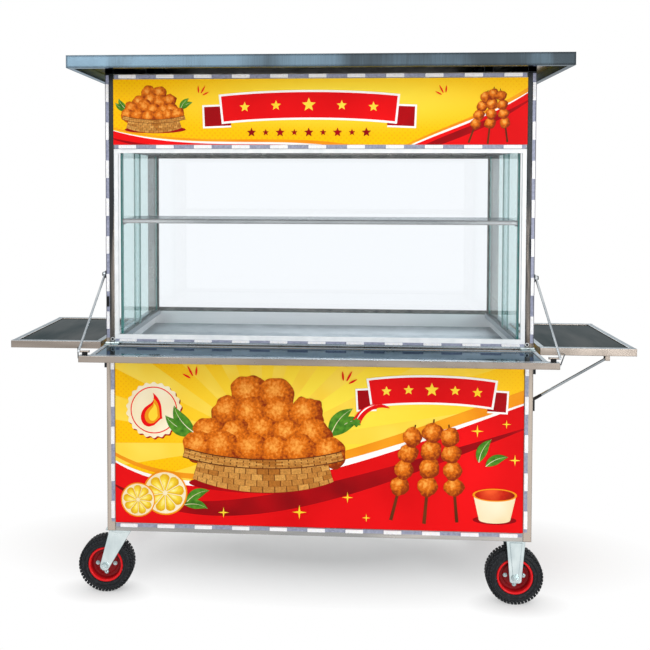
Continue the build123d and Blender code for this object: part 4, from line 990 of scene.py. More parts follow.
@dataclass(frozen=True)
class LugRing:
    """A ring of tread blocks: a block's height, width and length, the place of its middle and its lean.

    The ring starts at a share of the pitch between two blocks.
    """

    block_mm: tuple[float, float, float]
    radius_mm: float
    along_mm: float
    tilt: float = 0.0
    start: float = 0.0
    bevel_mm: float = 1.1

    def build(self, side: int, count: int) -> Mesh:
        """Make the ring on one half of the tyre.

        Args:
            side: The half, -1 or 1 along the axle.
            count: Number of blocks.

        Returns:
            The blocks about the Y axis.
        """
        mesh = bmesh.new()
        turn = Matrix.Rotation(math.tau / count * (side / 4 + self.start), 4, "Y")
        shift = Matrix.Translation((self.radius_mm * MM, side * self.along_mm * MM, 0.0))
        lean = Matrix.Rotation(math.radians(-side * self.tilt), 4, "Z")
        scale = Matrix.Diagonal([part * MM for part in self.block_mm] + [1.0])
        bmesh.ops.create_cube(mesh, size=1.0, matrix=turn @ shift @ lean @ scale)
        bmesh.ops.bevel(mesh, geom=mesh.edges[:], offset=self.bevel_mm * MM, segments=1, profile=0.5,
                        affect="EDGES", material=-1)
        return ringed(mesh, count)


@dataclass
class Wheel:
    """One caster wheel: a lugged tyre on a dished red rim with four bolts and a valve.

    The sections give radius and place along the axle, for half of the tyre without its lugs and of the rim.
    """

    place: str
    body: str
    steps: int = 96
    tyre_mm: tuple[Pair, ...] = (
        (64.2, 18.5), (65.2, 21.6), (67.0, 22.6), (69.0, 22.4), (70.2, 23.6), (72.2, 23.7), (73.4, 22.9),
        (79.0, 24.0), (81.0, 24.9), (83.0, 24.1), (88.0, 22.4), (92.6, 18.6), (95.2, 13.0), (96.4, 6.0))
    crown_mm: Pair = (96.6, 0.0)
    lugs: int = 48
    rings: tuple[LugRing, ...] = (LugRing((5.2, 15.0, 10.0), 94.2, 16.4, tilt=20.0),
                                  LugRing((4.4, 8.6, 9.8), 97.3, 4.8, start=0.5),
                                  LugRing((11.0, 4.2, 6.2), 90.0, 20.6, tilt=42.0))
    rim_mm: tuple[Pair, ...] = (
        (6.1, 25.8), (12.5, 25.8), (14.0, 24.6), (15.5, 23.0), (15.8, 12.0), (18.0, 9.4), (22.0, 8.4),
        (37.0, 8.2), (39.5, 7.2), (41.5, 4.2), (46.0, 3.4), (51.0, 4.6), (54.0, 9.0), (55.2, 16.0),
        (55.8, 19.6), (57.2, 21.6), (59.6, 22.6), (62.2, 22.0), (63.6, 20.0), (63.8, 18.2), (62.4, 16.6),
        (61.4, 9.0))
    lip_mm: float = 22.6
    bolts: int = 4
    bolt_at_mm: Pair = (32.0, 8.0)
    bolt: tuple[Stage, ...] = (Stage(0.0, 4.6, 5.6, 5.152, 6), Stage(0.0, 1.38, 7.6, 7.6, 20),
                               Stage(4.6, 6.21, 2.6, 2.2, 12))
    valve_at_mm: Pair = (49.0, 4.0)
    valve_turn: float = 0.75
    valve: tuple[Stage, ...] = (Stage(0.0, 13.0, 3.4, 2.6, 16), Stage(13.0, 18.0, 3.2, 3.0, 16))

    def build(self) -> None:
        """Make the tyre, the rim, its bolts and its valve in place of the plain solids."""
        tyre = spun(both_halves(self.tyre_mm, self.crown_mm), self.steps)
        rim = spun(both_halves(self.rim_mm), self.steps)
        # Depth into the dish, which the enamel turns into painted shade.
        depth = rim.verts.layers.float.new(RIM_ENAMEL.layer)
        for vert in rim.verts:
            vert[depth] = abs(vert.co.y) / (self.lip_mm * MM)
        bolts = bmesh.new()
        for side in SIDES:
            for ring in self.rings:
                merge(tyre, ring.build(side, self.lugs))
            foot = Vector((self.bolt_at_mm[0], side * self.bolt_at_mm[1], 0.0)) * MM
            merge(bolts, ringed(stacked(foot, BACK * side, self.bolt), self.bolts))
        radius, along = self.valve_at_mm
        foot = Vector((radius * math.cos(self.valve_turn), along, radius * math.sin(self.valve_turn))) * MM
        dressed = ((tyre, f"{self.place}_lugged_tyre", TYRE, "black_tyre"),
                   (rim, f"{self.place}_dished_rim", RIM_ENAMEL, "red_rim"),
                   (bolts, f"{self.place}_rim_bolts", ZINC, "zinc_steel"),
                   (stacked(foot, -BACK, self.valve), f"{self.place}_valve", BLACK, "black_metal"))
        low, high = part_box(f"{self.place}_tyre")
        move = Matrix.Translation((low + high) / 2)
        for mesh, name, finish, slot in dressed:
            bmesh.ops.transform(mesh, matrix=move, verts=mesh.verts[:])
            piece = finished(mesh, name, finish, self.body)
            if finish is TYRE:
                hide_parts(f"{self.place}_tyre")
            if finish is RIM_ENAMEL:
                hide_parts(f"{self.place}_rim")


@dataclass
class AxleNuts:
    """Hexagon nuts and washers at the ends of one axle, outside the legs of its fork."""

    place: str
    body: str
    face_mm: float
    washer: Stage = Stage(0.0, 1.8, 15.0, 15.0, 32)
    nut: Stage = Stage(0.0, 6.6, 11.9, 11.305, 6)
    stub: Stage = Stage(6.6, 10.6, 5.6, 4.76, 20)

    def build(self) -> None:
        """Make the nuts of both ends as one piece."""
        low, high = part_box(f"{self.place}_tyre")
        nuts = bmesh.new()
        for side in SIDES:
            seat = (low + high) / 2 + BACK * side * self.face_mm * MM
            merge(nuts, stacked(seat, BACK * side, (self.washer, self.nut, self.stub)))
        finished(nuts, f"{self.place}_axle_nuts", ZINC, self.body)


@dataclass
class LightLenses:
    """Three small lens domes on each module of the light strips."""

    per_module: int = 3
    radius_mm: float = 3.3
    height_mm: float = 1.3
    spacing: float = 0.3
    same_mm: float = 0.01

    def modules(self) -> list[tuple[Vector, Vector]]:
        """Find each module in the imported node, as the vertices that edges join.

        Returns:
            Lowest and highest corner of each module, in order.
        """
        mesh = bmesh.new()
        mesh.from_mesh(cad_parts["light_modules"].data)
        bmesh.ops.remove_doubles(mesh, verts=mesh.verts[:], dist=self.same_mm * MM)
        spans = []
        waiting = set(mesh.verts)
        while waiting:
            joined = {waiting.pop()}
            newest = list(joined)
            while newest:
                near = {link.other_vert(vert) for vert in newest for link in vert.link_edges} - joined
                joined |= near
                newest = list(near)
            waiting -= joined
            places = [vert.co for vert in joined]
            spans.append((Vector(map(min, zip(*places))), Vector(map(max, zip(*places)))))
        mesh.free()
        return sorted(spans, key=lambda span: tuple(span[0]))

    def build(self) -> None:
        """Make all domes as one piece."""
        lenses = bmesh.new()
        upright = Matrix.Rotation(math.pi / 2, 4, "X")
        shape = Matrix.Diagonal((self.radius_mm * MM, self.height_mm * MM, self.radius_mm * MM, 1.0))
        for low, high in self.modules():
            size = high - low
            along = ACROSS if size.x > size.z else UP
            middle = Vector(((low.x + high.x) / 2, low.y, (low.z + high.z) / 2))
            for number in range(self.per_module):
                shift = along * max(size.x, size.z) * self.spacing * (number - (self.per_module - 1) / 2)
                bmesh.ops.create_uvsphere(lenses, u_segments=12, v_segments=6, radius=1.0,
                                          matrix=Matrix.Translation(middle + shift) @ shape @ upright)
        finished(lenses, "light_lenses", LENS, FRAME_BODY)


@dataclass
class StrutSleeves:
    """Black plastic sleeves with knobs on the hooked ends of the struts under one side shelf."""

    node: str
    body: str
    radius_mm: float = 5.6
    taper: float = 0.9
    length_mm: float = 34.0
    knob_mm: float = 6.6
    knee_in_mm: float = 4.5
    knee_up_mm: float = 20.0
    eye_mm: float = 6.0
    rod_mm: float = 5.0

    def build(self) -> None:
        """Make a sleeve and a knob for each strut of the node."""
        low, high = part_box(self.node)
        side = 1.0 if high.x + low.x > 0 else -1.0
        near, far = (low.x, high.x) if side > 0 else (high.x, low.x)
        sleeves = bmesh.new()
        for y in {round(low.y + self.rod_mm * MM, 6), round(high.y - self.rod_mm * MM, 6)}:
            knee = Vector((near + side * self.knee_in_mm * MM, y, low.z + self.knee_up_mm * MM))
            eye = Vector((far - side * self.eye_mm * MM, y, high.z - self.eye_mm * MM))
            start = knee + (eye - knee).normalized() * self.length_mm * MM
            merge(sleeves, bar(start, knee, self.radius_mm * self.taper * MM, self.radius_mm * MM, 20))
            bmesh.ops.create_uvsphere(sleeves, u_segments=20, v_segments=12, radius=self.knob_mm * MM,
                                      matrix=Matrix.Translation(knee))
        finished(sleeves, f"{self.node}_sleeves", BLACK, self.body)


@dataclass
class HingeScrews:
    """Dark screws on white washers at the two hinges of the flap."""

    across_mm: float = 727.0
    post_up_mm: float = 8.5
    leaf_in_mm: float = 7.0
    leaf_mm: float = 1.4
    washer: Stage = Stage(0.0, 1.0, 6.5, 6.11, 24)
    head_mm: Pair = (4.6, 2.4)

    def screw(self, into: dict[Finish, Mesh], seat: Vector, out: Vector) -> None:
        """Add one screw with its washer.

        Args:
            into: The bmesh of the washers and of the heads.
            seat: Middle of the washer's underside, in metres.
            out: Direction that the head faces.
        """
        merge(into[WHITE_TRIM], stacked(seat, out, (self.washer,)))
        radius, height = self.head_mm
        top = Matrix.Translation(seat + out * self.washer.to_mm * MM)
        turn = out.to_track_quat("Z", "Y").to_matrix().to_4x4()
        shape = Matrix.Diagonal((radius * MM, radius * MM, height * MM, 1.0))
        bmesh.ops.create_uvsphere(into[BLACK], u_segments=20, v_segments=10, radius=1.0,
                                  matrix=top @ turn @ shape)

    def build(self) -> None:
        """Put a screw on each post over the hinge and one on each moving leaf."""
        leaf_low, leaf_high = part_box("flap_hinge_leaves")
        post_low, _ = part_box("corner_posts")
        on_post = Vector((0.0, post_low.y, leaf_high.z + self.post_up_mm * MM))
        on_leaf = Vector((0.0, leaf_low.y + self.leaf_in_mm * MM, leaf_low.z + self.leaf_mm * MM))
        for body, name, seat, out in ((FRAME_BODY, "post", on_post, -BACK), ("flap", "leaf", on_leaf, UP)):
            made: dict[Finish, Mesh] = {WHITE_TRIM: bmesh.new(), BLACK: bmesh.new()}
            for side in SIDES:
                self.screw(made, seat + ACROSS * side * self.across_mm * MM, out)
            finished(made[WHITE_TRIM], f"{name}_hinge_washers", WHITE_TRIM, body)
            finished(made[BLACK], f"{name}_hinge_screws", BLACK, body)


# Printed boards, whose places are millimetres across and up from the middle of a board


def bezier(*points: Spot) -> Path:
    """Make a cubic curve on a board.

    Args:
        *points: The four control points.

    Returns:
        A function from 0..1 to a place.
    """
    start, lead, trail, end = (Vector(point) for point in points)

    def at(t: float) -> Vector:
        """Place at t along the curve."""
        s = 1.0 - t
        return start * s ** 3 + lead * 3 * s * s * t + trail * 3 * s * t * t + end * t ** 3

    return at


def straight(start: Spot, end: Spot) -> Path:
    """A straight line on a board."""
    return lambda t: Vector(start).lerp(Vector(end), t)


def shifted(path: Path, across: float, up: float) -> Path:
    """The same path moved across and up."""
    return lambda t: path(t) + Vector((across, up))


def around(middle: Spot, width: float, height: float) -> Callable[[float, float], Spot]:
    """A function from shares of a motif's width and height to a place on the board."""
    return lambda across, up: (middle[0] + across * width, middle[1] + up * height)


def heading(angle: float) -> Vector:
    """The direction on a board at an angle in radians."""
    return Vector((math.cos(angle), math.sin(angle)))


def bent(foot: Spot, lean: float, length: float, bow: float, leads: Pair) -> tuple[Path, Vector, Vector]:
    """Make a spine that leaves a foot and bows to its left.

    Args:
        foot: Its start.
        lean: Its direction in degrees.
        length: Its length.
        bow: Its bow as a share of the length.
        leads: Places of its two inner control points along it, as shares.

    Returns:
        The spine, a step along its whole length and a step of its bow.
    """
    start, way = Vector(foot), heading(math.radians(lean)) * length
    side = Vector((-way.y, way.x)) * bow
    return bezier(start, start + way * leads[0] + side, start + way * leads[1] + side, start + way), way, side


@dataclass
class PrintedBoard:
    """Ink shapes on the face of one board, stacked in thin films."""

    name: str
    middle: Vector
    right: Vector
    half_mm: Pair
    film_mm: float = 0.02
    film_share: float = 0.7
    trim_mm: float = 0.0001
    ragged_share: float = 0.45
    tangent_step: float = 0.01
    lift_mm: float = 0.0
    inks: dict[Ink, Mesh] = field(default_factory=dict)

    def place(self, across: float, up: float) -> Vector:
        """A point on the current film, in metres in the cart's frame."""
        out = self.right.cross(UP)
        return self.middle + (self.right * across + UP * up + out * self.lift_mm) * MM

    def sheet(self, ink: Ink) -> Mesh:
        """Step one film further out than the last shape.

        Args:
            ink: Ink of the next shape.

        Returns:
            The bmesh of that ink.
        """
        self.lift_mm += self.film_mm
        if ink not in self.inks:
            self.inks[ink] = bmesh.new()
            self.inks[ink].loops.layers.uv.new("UVMap")
        return self.inks[ink]

    def map_shape(self, mesh: Mesh, places: dict[bmesh.types.BMVert, Vector]) -> None:
        """Give one shape its own map.

        Args:
            mesh: The bmesh of its ink.
            places: Place of each vertex on the map.
        """
        uv = mesh.loops.layers.uv.active
        for face in {face for vert in places for face in vert.link_faces}:
            for loop in face.loops:
                loop[uv].uv = places[loop.vert]

    def disc(self, ink: Ink, middle: Spot, radius: float, *, lobes: int = 0, depth: float = 0.0,
             squash: float = 1.0, turn: float = 0.0, sides: int = 48, ragged: float = 0.0) -> None:
        """Print a round shape, which may be wavy, starred or flattened.

        Args:
            ink: Ink of the shape.
            middle: Its middle.
            radius: Mean radius.
            lobes: Number of waves round its rim.
            depth: Height of the waves as a share of the radius.
            squash: Height as a share of its width.
            turn: Turn in degrees.
            sides: Number of corners.
            ragged: Share of a second, finer wave.
        """
        mesh = self.sheet(ink)
        spin = Matrix.Rotation(math.radians(turn), 2)
        places = {}
        for vert in bmesh.ops.create_circle(mesh, cap_ends=True, segments=sides, radius=1.0)["verts"]:
            angle = math.atan2(vert.co.x, vert.co.y)
            fine = self.ragged_share * ragged * math.cos((2 * lobes + 1) * angle + lobes)
            reach = 1.0 + depth * (math.cos(lobes * angle) + fine)
            flat = spin @ Vector((vert.co.x * reach, vert.co.y * reach * squash))
            places[vert] = flat * 0.5 + Vector((0.5, 0.5))
            vert.co = self.place(middle[0] + flat.x * radius, middle[1] + flat.y * radius)
        self.map_shape(mesh, places)

    def ribbon(self, ink: Ink, path: Path, half: Width, steps: int = 40) -> None:
        """Print a band along a path.

        Args:
            ink: Ink of the band.
            path: Its middle line.
            half: Half width at 0..1 along it.
            steps: Number of steps along it.
        """
        mesh = self.sheet(ink)
        places = {}
        for vert in bmesh.ops.create_grid(mesh, x_segments=steps, y_segments=1, size=1.0)["verts"]:
            t, side = (vert.co.x + 1.0) / 2, vert.co.y
            ahead, behind = min(1.0, t + self.tangent_step), max(0.0, t - self.tangent_step)
            tangent = (path(ahead) - path(behind)).normalized()
            flat = path(t) + Vector((-tangent.y, tangent.x)) * (half(t) * side)
            places[vert] = Vector((t, (side + 1.0) / 2))
            vert.co = self.place(flat.x, flat.y)
        self.map_shape(mesh, places)

    def below(self, ink: Ink, path: Path, depth: float, steps: int = 60) -> None:
        """Fill the field under a path that runs across the board.

        Args:
            ink: Ink of the field.
            path: Its upper edge.
            depth: How far down it goes.
            steps: Number of steps along it.
        """
        mesh = self.sheet(ink)
        places = {}
        for vert in bmesh.ops.create_grid(mesh, x_segments=steps, y_segments=1, size=1.0)["verts"]:
            edge = path((vert.co.x + 1.0) / 2)
            places[vert] = Vector((0.5, 0.5))
            vert.co = self.place(edge.x, edge.y if vert.co.y > 0 else edge.y - depth)
        self.map_shape(mesh, places)

    def build(self) -> None:
        """Trim every ink to the board, close its film and make it a piece."""
        for ink, mesh in self.inks.items():
            for across, up in ((1, 0), (-1, 0), (0, 1), (0, -1)):
                out = self.right * across + UP * up
                reach = self.half_mm[0] if across else self.half_mm[1]
                whole = mesh.verts[:] + mesh.edges[:] + mesh.faces[:]
                edge = self.middle + out * reach * MM
                bmesh.ops.bisect_plane(mesh, geom=whole, dist=self.trim_mm * MM, plane_co=edge, plane_no=out,
                                       clear_outer=True)
            bmesh.ops.solidify(mesh, geom=mesh.faces[:], thickness=self.film_mm * self.film_share * MM)
            bmesh.ops.recalc_face_normals(mesh, faces=mesh.faces[:])
            finished(mesh, f"{self.name}_{ink.name.lower()}", ink.value, FRAME_BODY)


@dataclass
class Motifs:
    """Plain street-food pictures that the boards are printed with, drawn in shares of their size."""

    board: PrintedBoard
    chance: random.Random

    def wave(self, edge: Path, depth: float, scale: float) -> None:
        """Fill a red field under a curve, with a dark fold, an orange and a white sweep along it.

        Args:
            edge: The curve.
            depth: How far down the field goes.
            scale: Size of the sweeps.
        """
        board = self.board
        board.below(Ink.RED, edge, depth)
        board.ribbon(Ink.DEEP_RED, shifted(edge, 0.0, -58.0 * scale),
                     lambda t: 20.0 * scale * math.sin(math.pi * t) + 2)
        board.ribbon(Ink.ORANGE, shifted(edge, 0.0, 17.0 * scale), lambda t: 15.0 * scale * (0.25 + 0.75 * t))
        board.ribbon(Ink.WHITE, edge, lambda t: 7.5 * scale * math.sin(math.pi * (0.08 + 0.84 * t)))

    def rays(self, middle: Spot, reach: float, count: int) -> None:
        """Fan pale wedges out all round a point.

        Args:
            middle: The point.
            reach: Length of the wedges.
            count: Number of wedges.
        """
        for number in range(count):
            end = Vector(middle) + heading(math.tau * (number + 0.3) / count) * reach
            self.board.ribbon(Ink.SUN, straight(middle, end),
                              lambda t: reach * t * math.tan(math.pi / count / 2) + 0.1, 2)

    def twinkle(self, ink: Ink, middle: Spot, radius: float) -> None:
        """A four-pointed spark."""
        self.board.disc(ink, middle, radius * 0.6, lobes=4, depth=0.66, sides=8)

    def star(self, ink: Ink, middle: Spot, radius: float) -> None:
        """A five-pointed star, point up."""
        self.board.disc(ink, middle, radius * 0.72, lobes=5, depth=0.38, sides=10)

    def bowl(self, middle: Spot, width: float) -> None:
        """Draw a woven bowl heaped with golden bites, with herbs behind.

        Args:
            middle: Its middle.
            width: Its width.
        """
        board, chance, at = self.board, self.chance, around(middle, width, width)
        for across, lean in ((-0.40, 150.0), (-0.40, 128.0), (0.40, 30.0), (0.40, 52.0)):
            self.leaf(at(across, 0.06), lean, width * 0.21)
        board.disc(Ink.DEEP_RED, at(0.02, -0.235), width * 0.46, squash=0.12)
        for rise, shift, count in ((0.30, 0.0, 2), (0.19, 0.02, 4), (0.07, 0.0, 5), (-0.03, 0.0, 6)):
            for number in range(count):
                across, up = at((number - (count - 1) / 2) * 0.155 + shift, rise)
                bite = (across + chance.uniform(-8, 8), up + chance.uniform(-7, 7))
                board.disc(Ink.CRUST, bite, width * chance.uniform(0.098, 0.118),
                           lobes=chance.choice((3, 4, 5)), depth=chance.uniform(0.04, 0.08),
                           squash=chance.uniform(0.82, 0.98), turn=chance.uniform(-60, 60), ragged=1.0)
        wall = bezier(at(-0.40, -0.15), at(-0.2, -0.21), at(0.2, -0.21), at(0.40, -0.15))
        board.ribbon(Ink.CANE, wall, lambda t: width * (0.062 + 0.028 * math.sin(math.pi * t)))
        rim = bezier(at(-0.47, -0.055), at(-0.2, -0.135), at(0.2, -0.135), at(0.47, -0.055))
        board.ribbon(Ink.BROWN, rim, lambda t: width * 0.03)
        board.ribbon(Ink.CANE, rim, lambda t: width * 0.024)

    def skewer(self, foot: Spot, lean: float, length: float) -> None:
        """Draw a stick of four round bites.

        Args:
            foot: Lower end of the stick.
            lean: Its direction in degrees.
            length: Its length.
        """
        start, way = Vector(foot), heading(math.radians(lean)) * length
        self.board.ribbon(Ink.BROWN, straight(start, start + way),
                          lambda t: length * 0.016 * (1.0 - 0.6 * t), 2)
        for number in range(4):
            bite = start + way * (0.36 + 0.17 * number)
            self.board.disc(Ink.CRUST, bite, length * 0.102, lobes=4, depth=0.05, squash=0.9,
                            turn=self.chance.uniform(0, 90), ragged=1.0)

    def medallion(self, middle: Spot, radius: float) -> None:
        """Draw a scalloped cream disc with a ring and a flame.

        Args:
            middle: Its middle.
            radius: Its radius.
        """
        board, at = self.board, around(middle, radius, radius)
        board.disc(Ink.DEEP_RED, at(0.04, -0.05), radius, lobes=22, depth=0.035, sides=176)
        board.disc(Ink.CREAM, middle, radius, lobes=22, depth=0.035, sides=176)
        board.disc(Ink.RED, middle, radius * 0.86, sides=72)
        board.disc(Ink.CREAM, middle, radius * 0.82, sides=72)
        for ink, size, foot in ((Ink.RED, 1.0, -0.56), (Ink.ORANGE, 0.7, -0.47), (Ink.YELLOW, 0.42, -0.39)):
            spine = bezier(at(0.0, foot), at(-0.30 * size, -0.1), at(0.34 * size, 0.12 * size),
                           at(-0.04 * size, 0.64 * size))
            board.ribbon(ink, spine, lambda t, reach=radius * size: (
                reach * 0.44 * math.sin(math.pi * t ** 0.55) * (1.0 - 0.35 * t) + 0.1))

    def banner(self, middle: Spot, length: float, height: float) -> None:
        """Draw a blank red ribbon with folded tails, a white edge and a row of stars.

        Args:
            middle: Its middle.
            length: Its length without the tails.
            height: Its height.
        """
        board, at = self.board, around(middle, length, height)
        tail_edge, edge = 0.07 * height / length, 0.08 * height / length
        for side in SIDES:
            fold = at(side * 0.44, -0.30)
            board.ribbon(Ink.WHITE, straight(fold, at(side * 0.60, -0.34)), lambda t: height * 0.44, 2)
            board.ribbon(Ink.DEEP_RED, straight(fold, at(side * (0.60 - tail_edge), -0.34)),
                         lambda t: height * 0.37, 2)
        bow = bezier(at(-0.5, -0.06), at(-0.2, 0.16), at(0.2, 0.16), at(0.5, -0.06))
        board.ribbon(Ink.WHITE, bow, lambda t: height * 0.56)
        core = bezier(at(edge - 0.5, -0.05), at(-0.2, 0.155), at(0.2, 0.155), at(0.5 - edge, -0.05))
        board.ribbon(Ink.RED, core, lambda t: height * 0.48)
        for number in range(5):
            self.star(Ink.YELLOW, core(0.14 + 0.18 * number), height * (0.27 if number == 2 else 0.2))

    def leaf(self, foot: Spot, lean: float, length: float) -> None:
        """Draw a herb leaf with a pale rib.

        Args:
            foot: Its stalk end.
            lean: Its direction in degrees.
            length: Its length.
        """
        spine, _, _ = bent(foot, lean, length, 0.14, (0.35, 0.7))
        self.board.ribbon(Ink.GREEN, spine, lambda t: length * 0.2 * math.sin(math.pi * t ** 0.8) + 0.1, 24)
        self.board.ribbon(Ink.CREAM, spine, lambda t: length * 0.012 * (1.05 - t), 16)

    def citrus(self, middle: Spot, radius: float) -> None:
        """Draw a slice of lemon with nine segments.

        Args:
            middle: Its middle.
            radius: Its radius.
        """
        board = self.board
        board.disc(Ink.ORANGE, middle, radius)
        board.disc(Ink.CREAM, middle, radius * 0.93)
        for number in range(9):
            way = heading(math.tau * number / 9 + 0.2) * radius
            board.ribbon(Ink.CITRUS, straight(Vector(middle) + way * 0.1, Vector(middle) + way * 0.85),
                         lambda t: radius * (0.02 + 0.27 * t) * min(1.0, 4.0 * (1.02 - t)) ** 0.5, 12)

    def chili(self, foot: Spot, lean: float, length: float) -> None:
        """Draw a curved pepper with a highlight, a green cap and a stalk.

        Args:
            foot: Its cap end.
            lean: Its direction in degrees.
            length: Its length.
        """
        board, start = self.board, Vector(foot)
        spine, way, side = bent(foot, lean, length, 0.3, (0.3, 0.75))
        board.ribbon(Ink.RED, spine, lambda t: length * 0.115 * (1.0 - t) ** 0.6 + 0.1)
        board.ribbon(Ink.WHITE, shifted(spine, -length * 0.01, length * 0.035),
                     lambda t: length * 0.018 * math.sin(math.pi * min(1.0, t * 1.6)) * (t < 0.62) + 0.05)
        board.disc(Ink.GREEN, foot, length * 0.11, lobes=6, depth=0.16, sides=48)
        stalk = bezier(start, start - way * 0.1, start - way * 0.2 + side * 0.2,
                       start - way * 0.24 + side * 0.6)
        board.ribbon(Ink.GREEN, stalk, lambda t: length * 0.03, 12)

    def pot(self, middle: Spot, width: float) -> None:
        """Draw a small cream pot of red sauce.

        Args:
            middle: Its middle.
            width: Its width.
        """
        board, at = self.board, around(middle, width, width)
        board.disc(Ink.DEEP_RED, at(0.0, -0.42), width * 0.5, squash=0.2)
        wall = straight(at(0.0, -0.42), at(0.0, 0.16))
        board.ribbon(Ink.CREAM, wall, lambda t: width * (0.36 + 0.13 * t), 8)
        board.disc(Ink.CREAM, at(0.0, -0.41), width * 0.36, squash=0.24)
        board.disc(Ink.ORANGE, at(0.0, 0.17), width * 0.51, squash=0.3)
        board.disc(Ink.SAUCE, at(0.0, 0.17), width * 0.46, squash=0.28)

    def sparks(self, middle: Spot, lean: float, size: float) -> None:
        """Draw three short red strokes that fan out.

        Args:
            middle: Where they come from.
            lean: Direction of the middle one in degrees.
            size: Length of the middle one.
        """
        for turn, length in ((-34.0, 0.8), (0.0, 1.0), (34.0, 0.8)):
            way = heading(math.radians(lean + turn)) * size
            stroke = straight(Vector(middle) + way * 0.5, Vector(middle) + way * (0.5 + length))
            self.board.ribbon(Ink.RED, stroke,
                              lambda t: size * 0.085 * math.sin(math.pi * (0.15 + 0.8 * t)), 8)


@dataclass
class Prints:
    """The printed boards of the cart: front, head and both sides."""

    seed: int = 11

    def face(self, node: str, right: Vector, near: bool) -> PrintedBoard:
        """Start the print on one face of a board.

        Args:
            node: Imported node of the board.
            right: Direction to the right on the face.
            near: Whether the face is the node's lowest along its normal.

        Returns:
            An empty board.
        """
        low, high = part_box(node)
        out = right.cross(UP)
        middle = (low + high) / 2
        axis = 0 if abs(out.x) > 0.5 else 1
        middle[axis] = low[axis] if near else high[axis]
        size = high - low
        half = (size.y if axis == 0 else size.x) / 2
        name = node.rstrip("s") if axis == 1 else f"{'left' if near else 'right'}_{node.rstrip('s')}"
        return PrintedBoard(f"{name}_print", middle, right, (half * PER_MM, size.z / 2 * PER_MM))

    def front(self) -> None:
        """Bowl left of the middle, blank ribbon and skewers at the right, medallion at the left end."""
        board = self.face("front_panel", ACROSS, True)
        draw = Motifs(board, random.Random(self.seed))
        draw.rays((-190, -20), 900.0, 20)
        draw.wave(bezier((-730, -90), (-380, -290), (140, -80), (730, 140)), 700.0, 1.5)
        draw.medallion((-580, 92), 98.0)
        draw.bowl((-190, -25), 600.0)
        draw.banner((402, 172), 440.0, 92.0)
        for foot, lean, length in (((262, -282), 76.0, 350.0), ((378, -292), 85.0, 372.0),
                                   ((492, -284), 95.0, 346.0)):
            draw.skewer(foot, lean, length)
        draw.pot((622, -210), 150.0)
        draw.citrus((-540, -205), 80.0)
        draw.citrus((-638, -232), 62.0)
        draw.leaf((-462, -236), 28.0, 92.0)
        draw.leaf((-470, -246), -8.0, 84.0)
        draw.chili((140, 62), 24.0, 128.0)
        draw.leaf((566, -70), 62.0, 92.0)
        draw.leaf((590, -84), 24.0, 84.0)
        draw.sparks((-430, 200), 118.0, 40.0)
        draw.sparks((96, 190), 62.0, 40.0)
        for across, up, radius in ((-330, -270, 20), (-60, -262, 26), (110, -205, 20), (176, -276, 15),
                                   (560, 40, 22), (660, 66, 16), (690, -60, 20)):
            draw.twinkle(Ink.YELLOW, (across, up), radius)
        board.build()

    def sign(self) -> None:
        """Bowl at the left end, a long blank ribbon in the middle, skewers at the right end."""
        board = self.face("sign_panel", ACROSS, True)
        draw = Motifs(board, random.Random(self.seed + 1))
        draw.wave(bezier((-730, -62), (-420, -150), (-60, -70), (200, -150)), 300.0, 0.5)
        draw.wave(bezier((240, -160), (420, -60), (560, -40), (730, 70)), 300.0, 0.5)
        draw.bowl((-575, -6), 236.0)
        draw.banner((-30, 14), 620.0, 92.0)
        for foot, lean, length in (((520, -108), 70.0, 190.0), ((585, -112), 84.0, 196.0),
                                   ((652, -106), 98.0, 184.0)):
            draw.skewer(foot, lean, length)
        for number in range(9):
            draw.star(Ink.DEEP_RED, (-230 + number * 50, -72), 12.0 if number % 2 else 17.0)
        draw.sparks((-415, 52), 60.0, 30.0)
        draw.sparks((440, 50), 118.0, 30.0)
        board.build()

    def sides(self) -> None:
        """A medallion over a wave on each cupboard side, stars over a wave on each side of the head."""
        for right, near in ((BACK, False), (-BACK, True)):
            board = self.face("side_panels", right, near)
            draw = Motifs(board, random.Random(self.seed + 2))
            draw.wave(bezier((-270, -120), (-120, -250), (60, -90), (270, 10)), 700.0, 1.2)
            draw.medallion((0, 110), 118.0)
            draw.pot((120, -170), 130.0)
            draw.citrus((-120, -215), 62.0)
            draw.chili((-60, -150), 150.0, 120.0)
            board.build()
            head = self.face("side_signs", right, near)
            draw = Motifs(head, random.Random(self.seed + 3))
            draw.wave(bezier((-270, -40), (-90, -110), (80, -40), (270, -70)), 300.0, 0.5)
            for number in range(5):
                draw.star(Ink.RED, (-140 + number * 70, 28), 28.0 if number == 2 else 20.0)
            head.build()

    def build(self) -> None:
        """Print all the boards."""
        self.front()
        self.sign()
        self.sides()


# Frame and studio


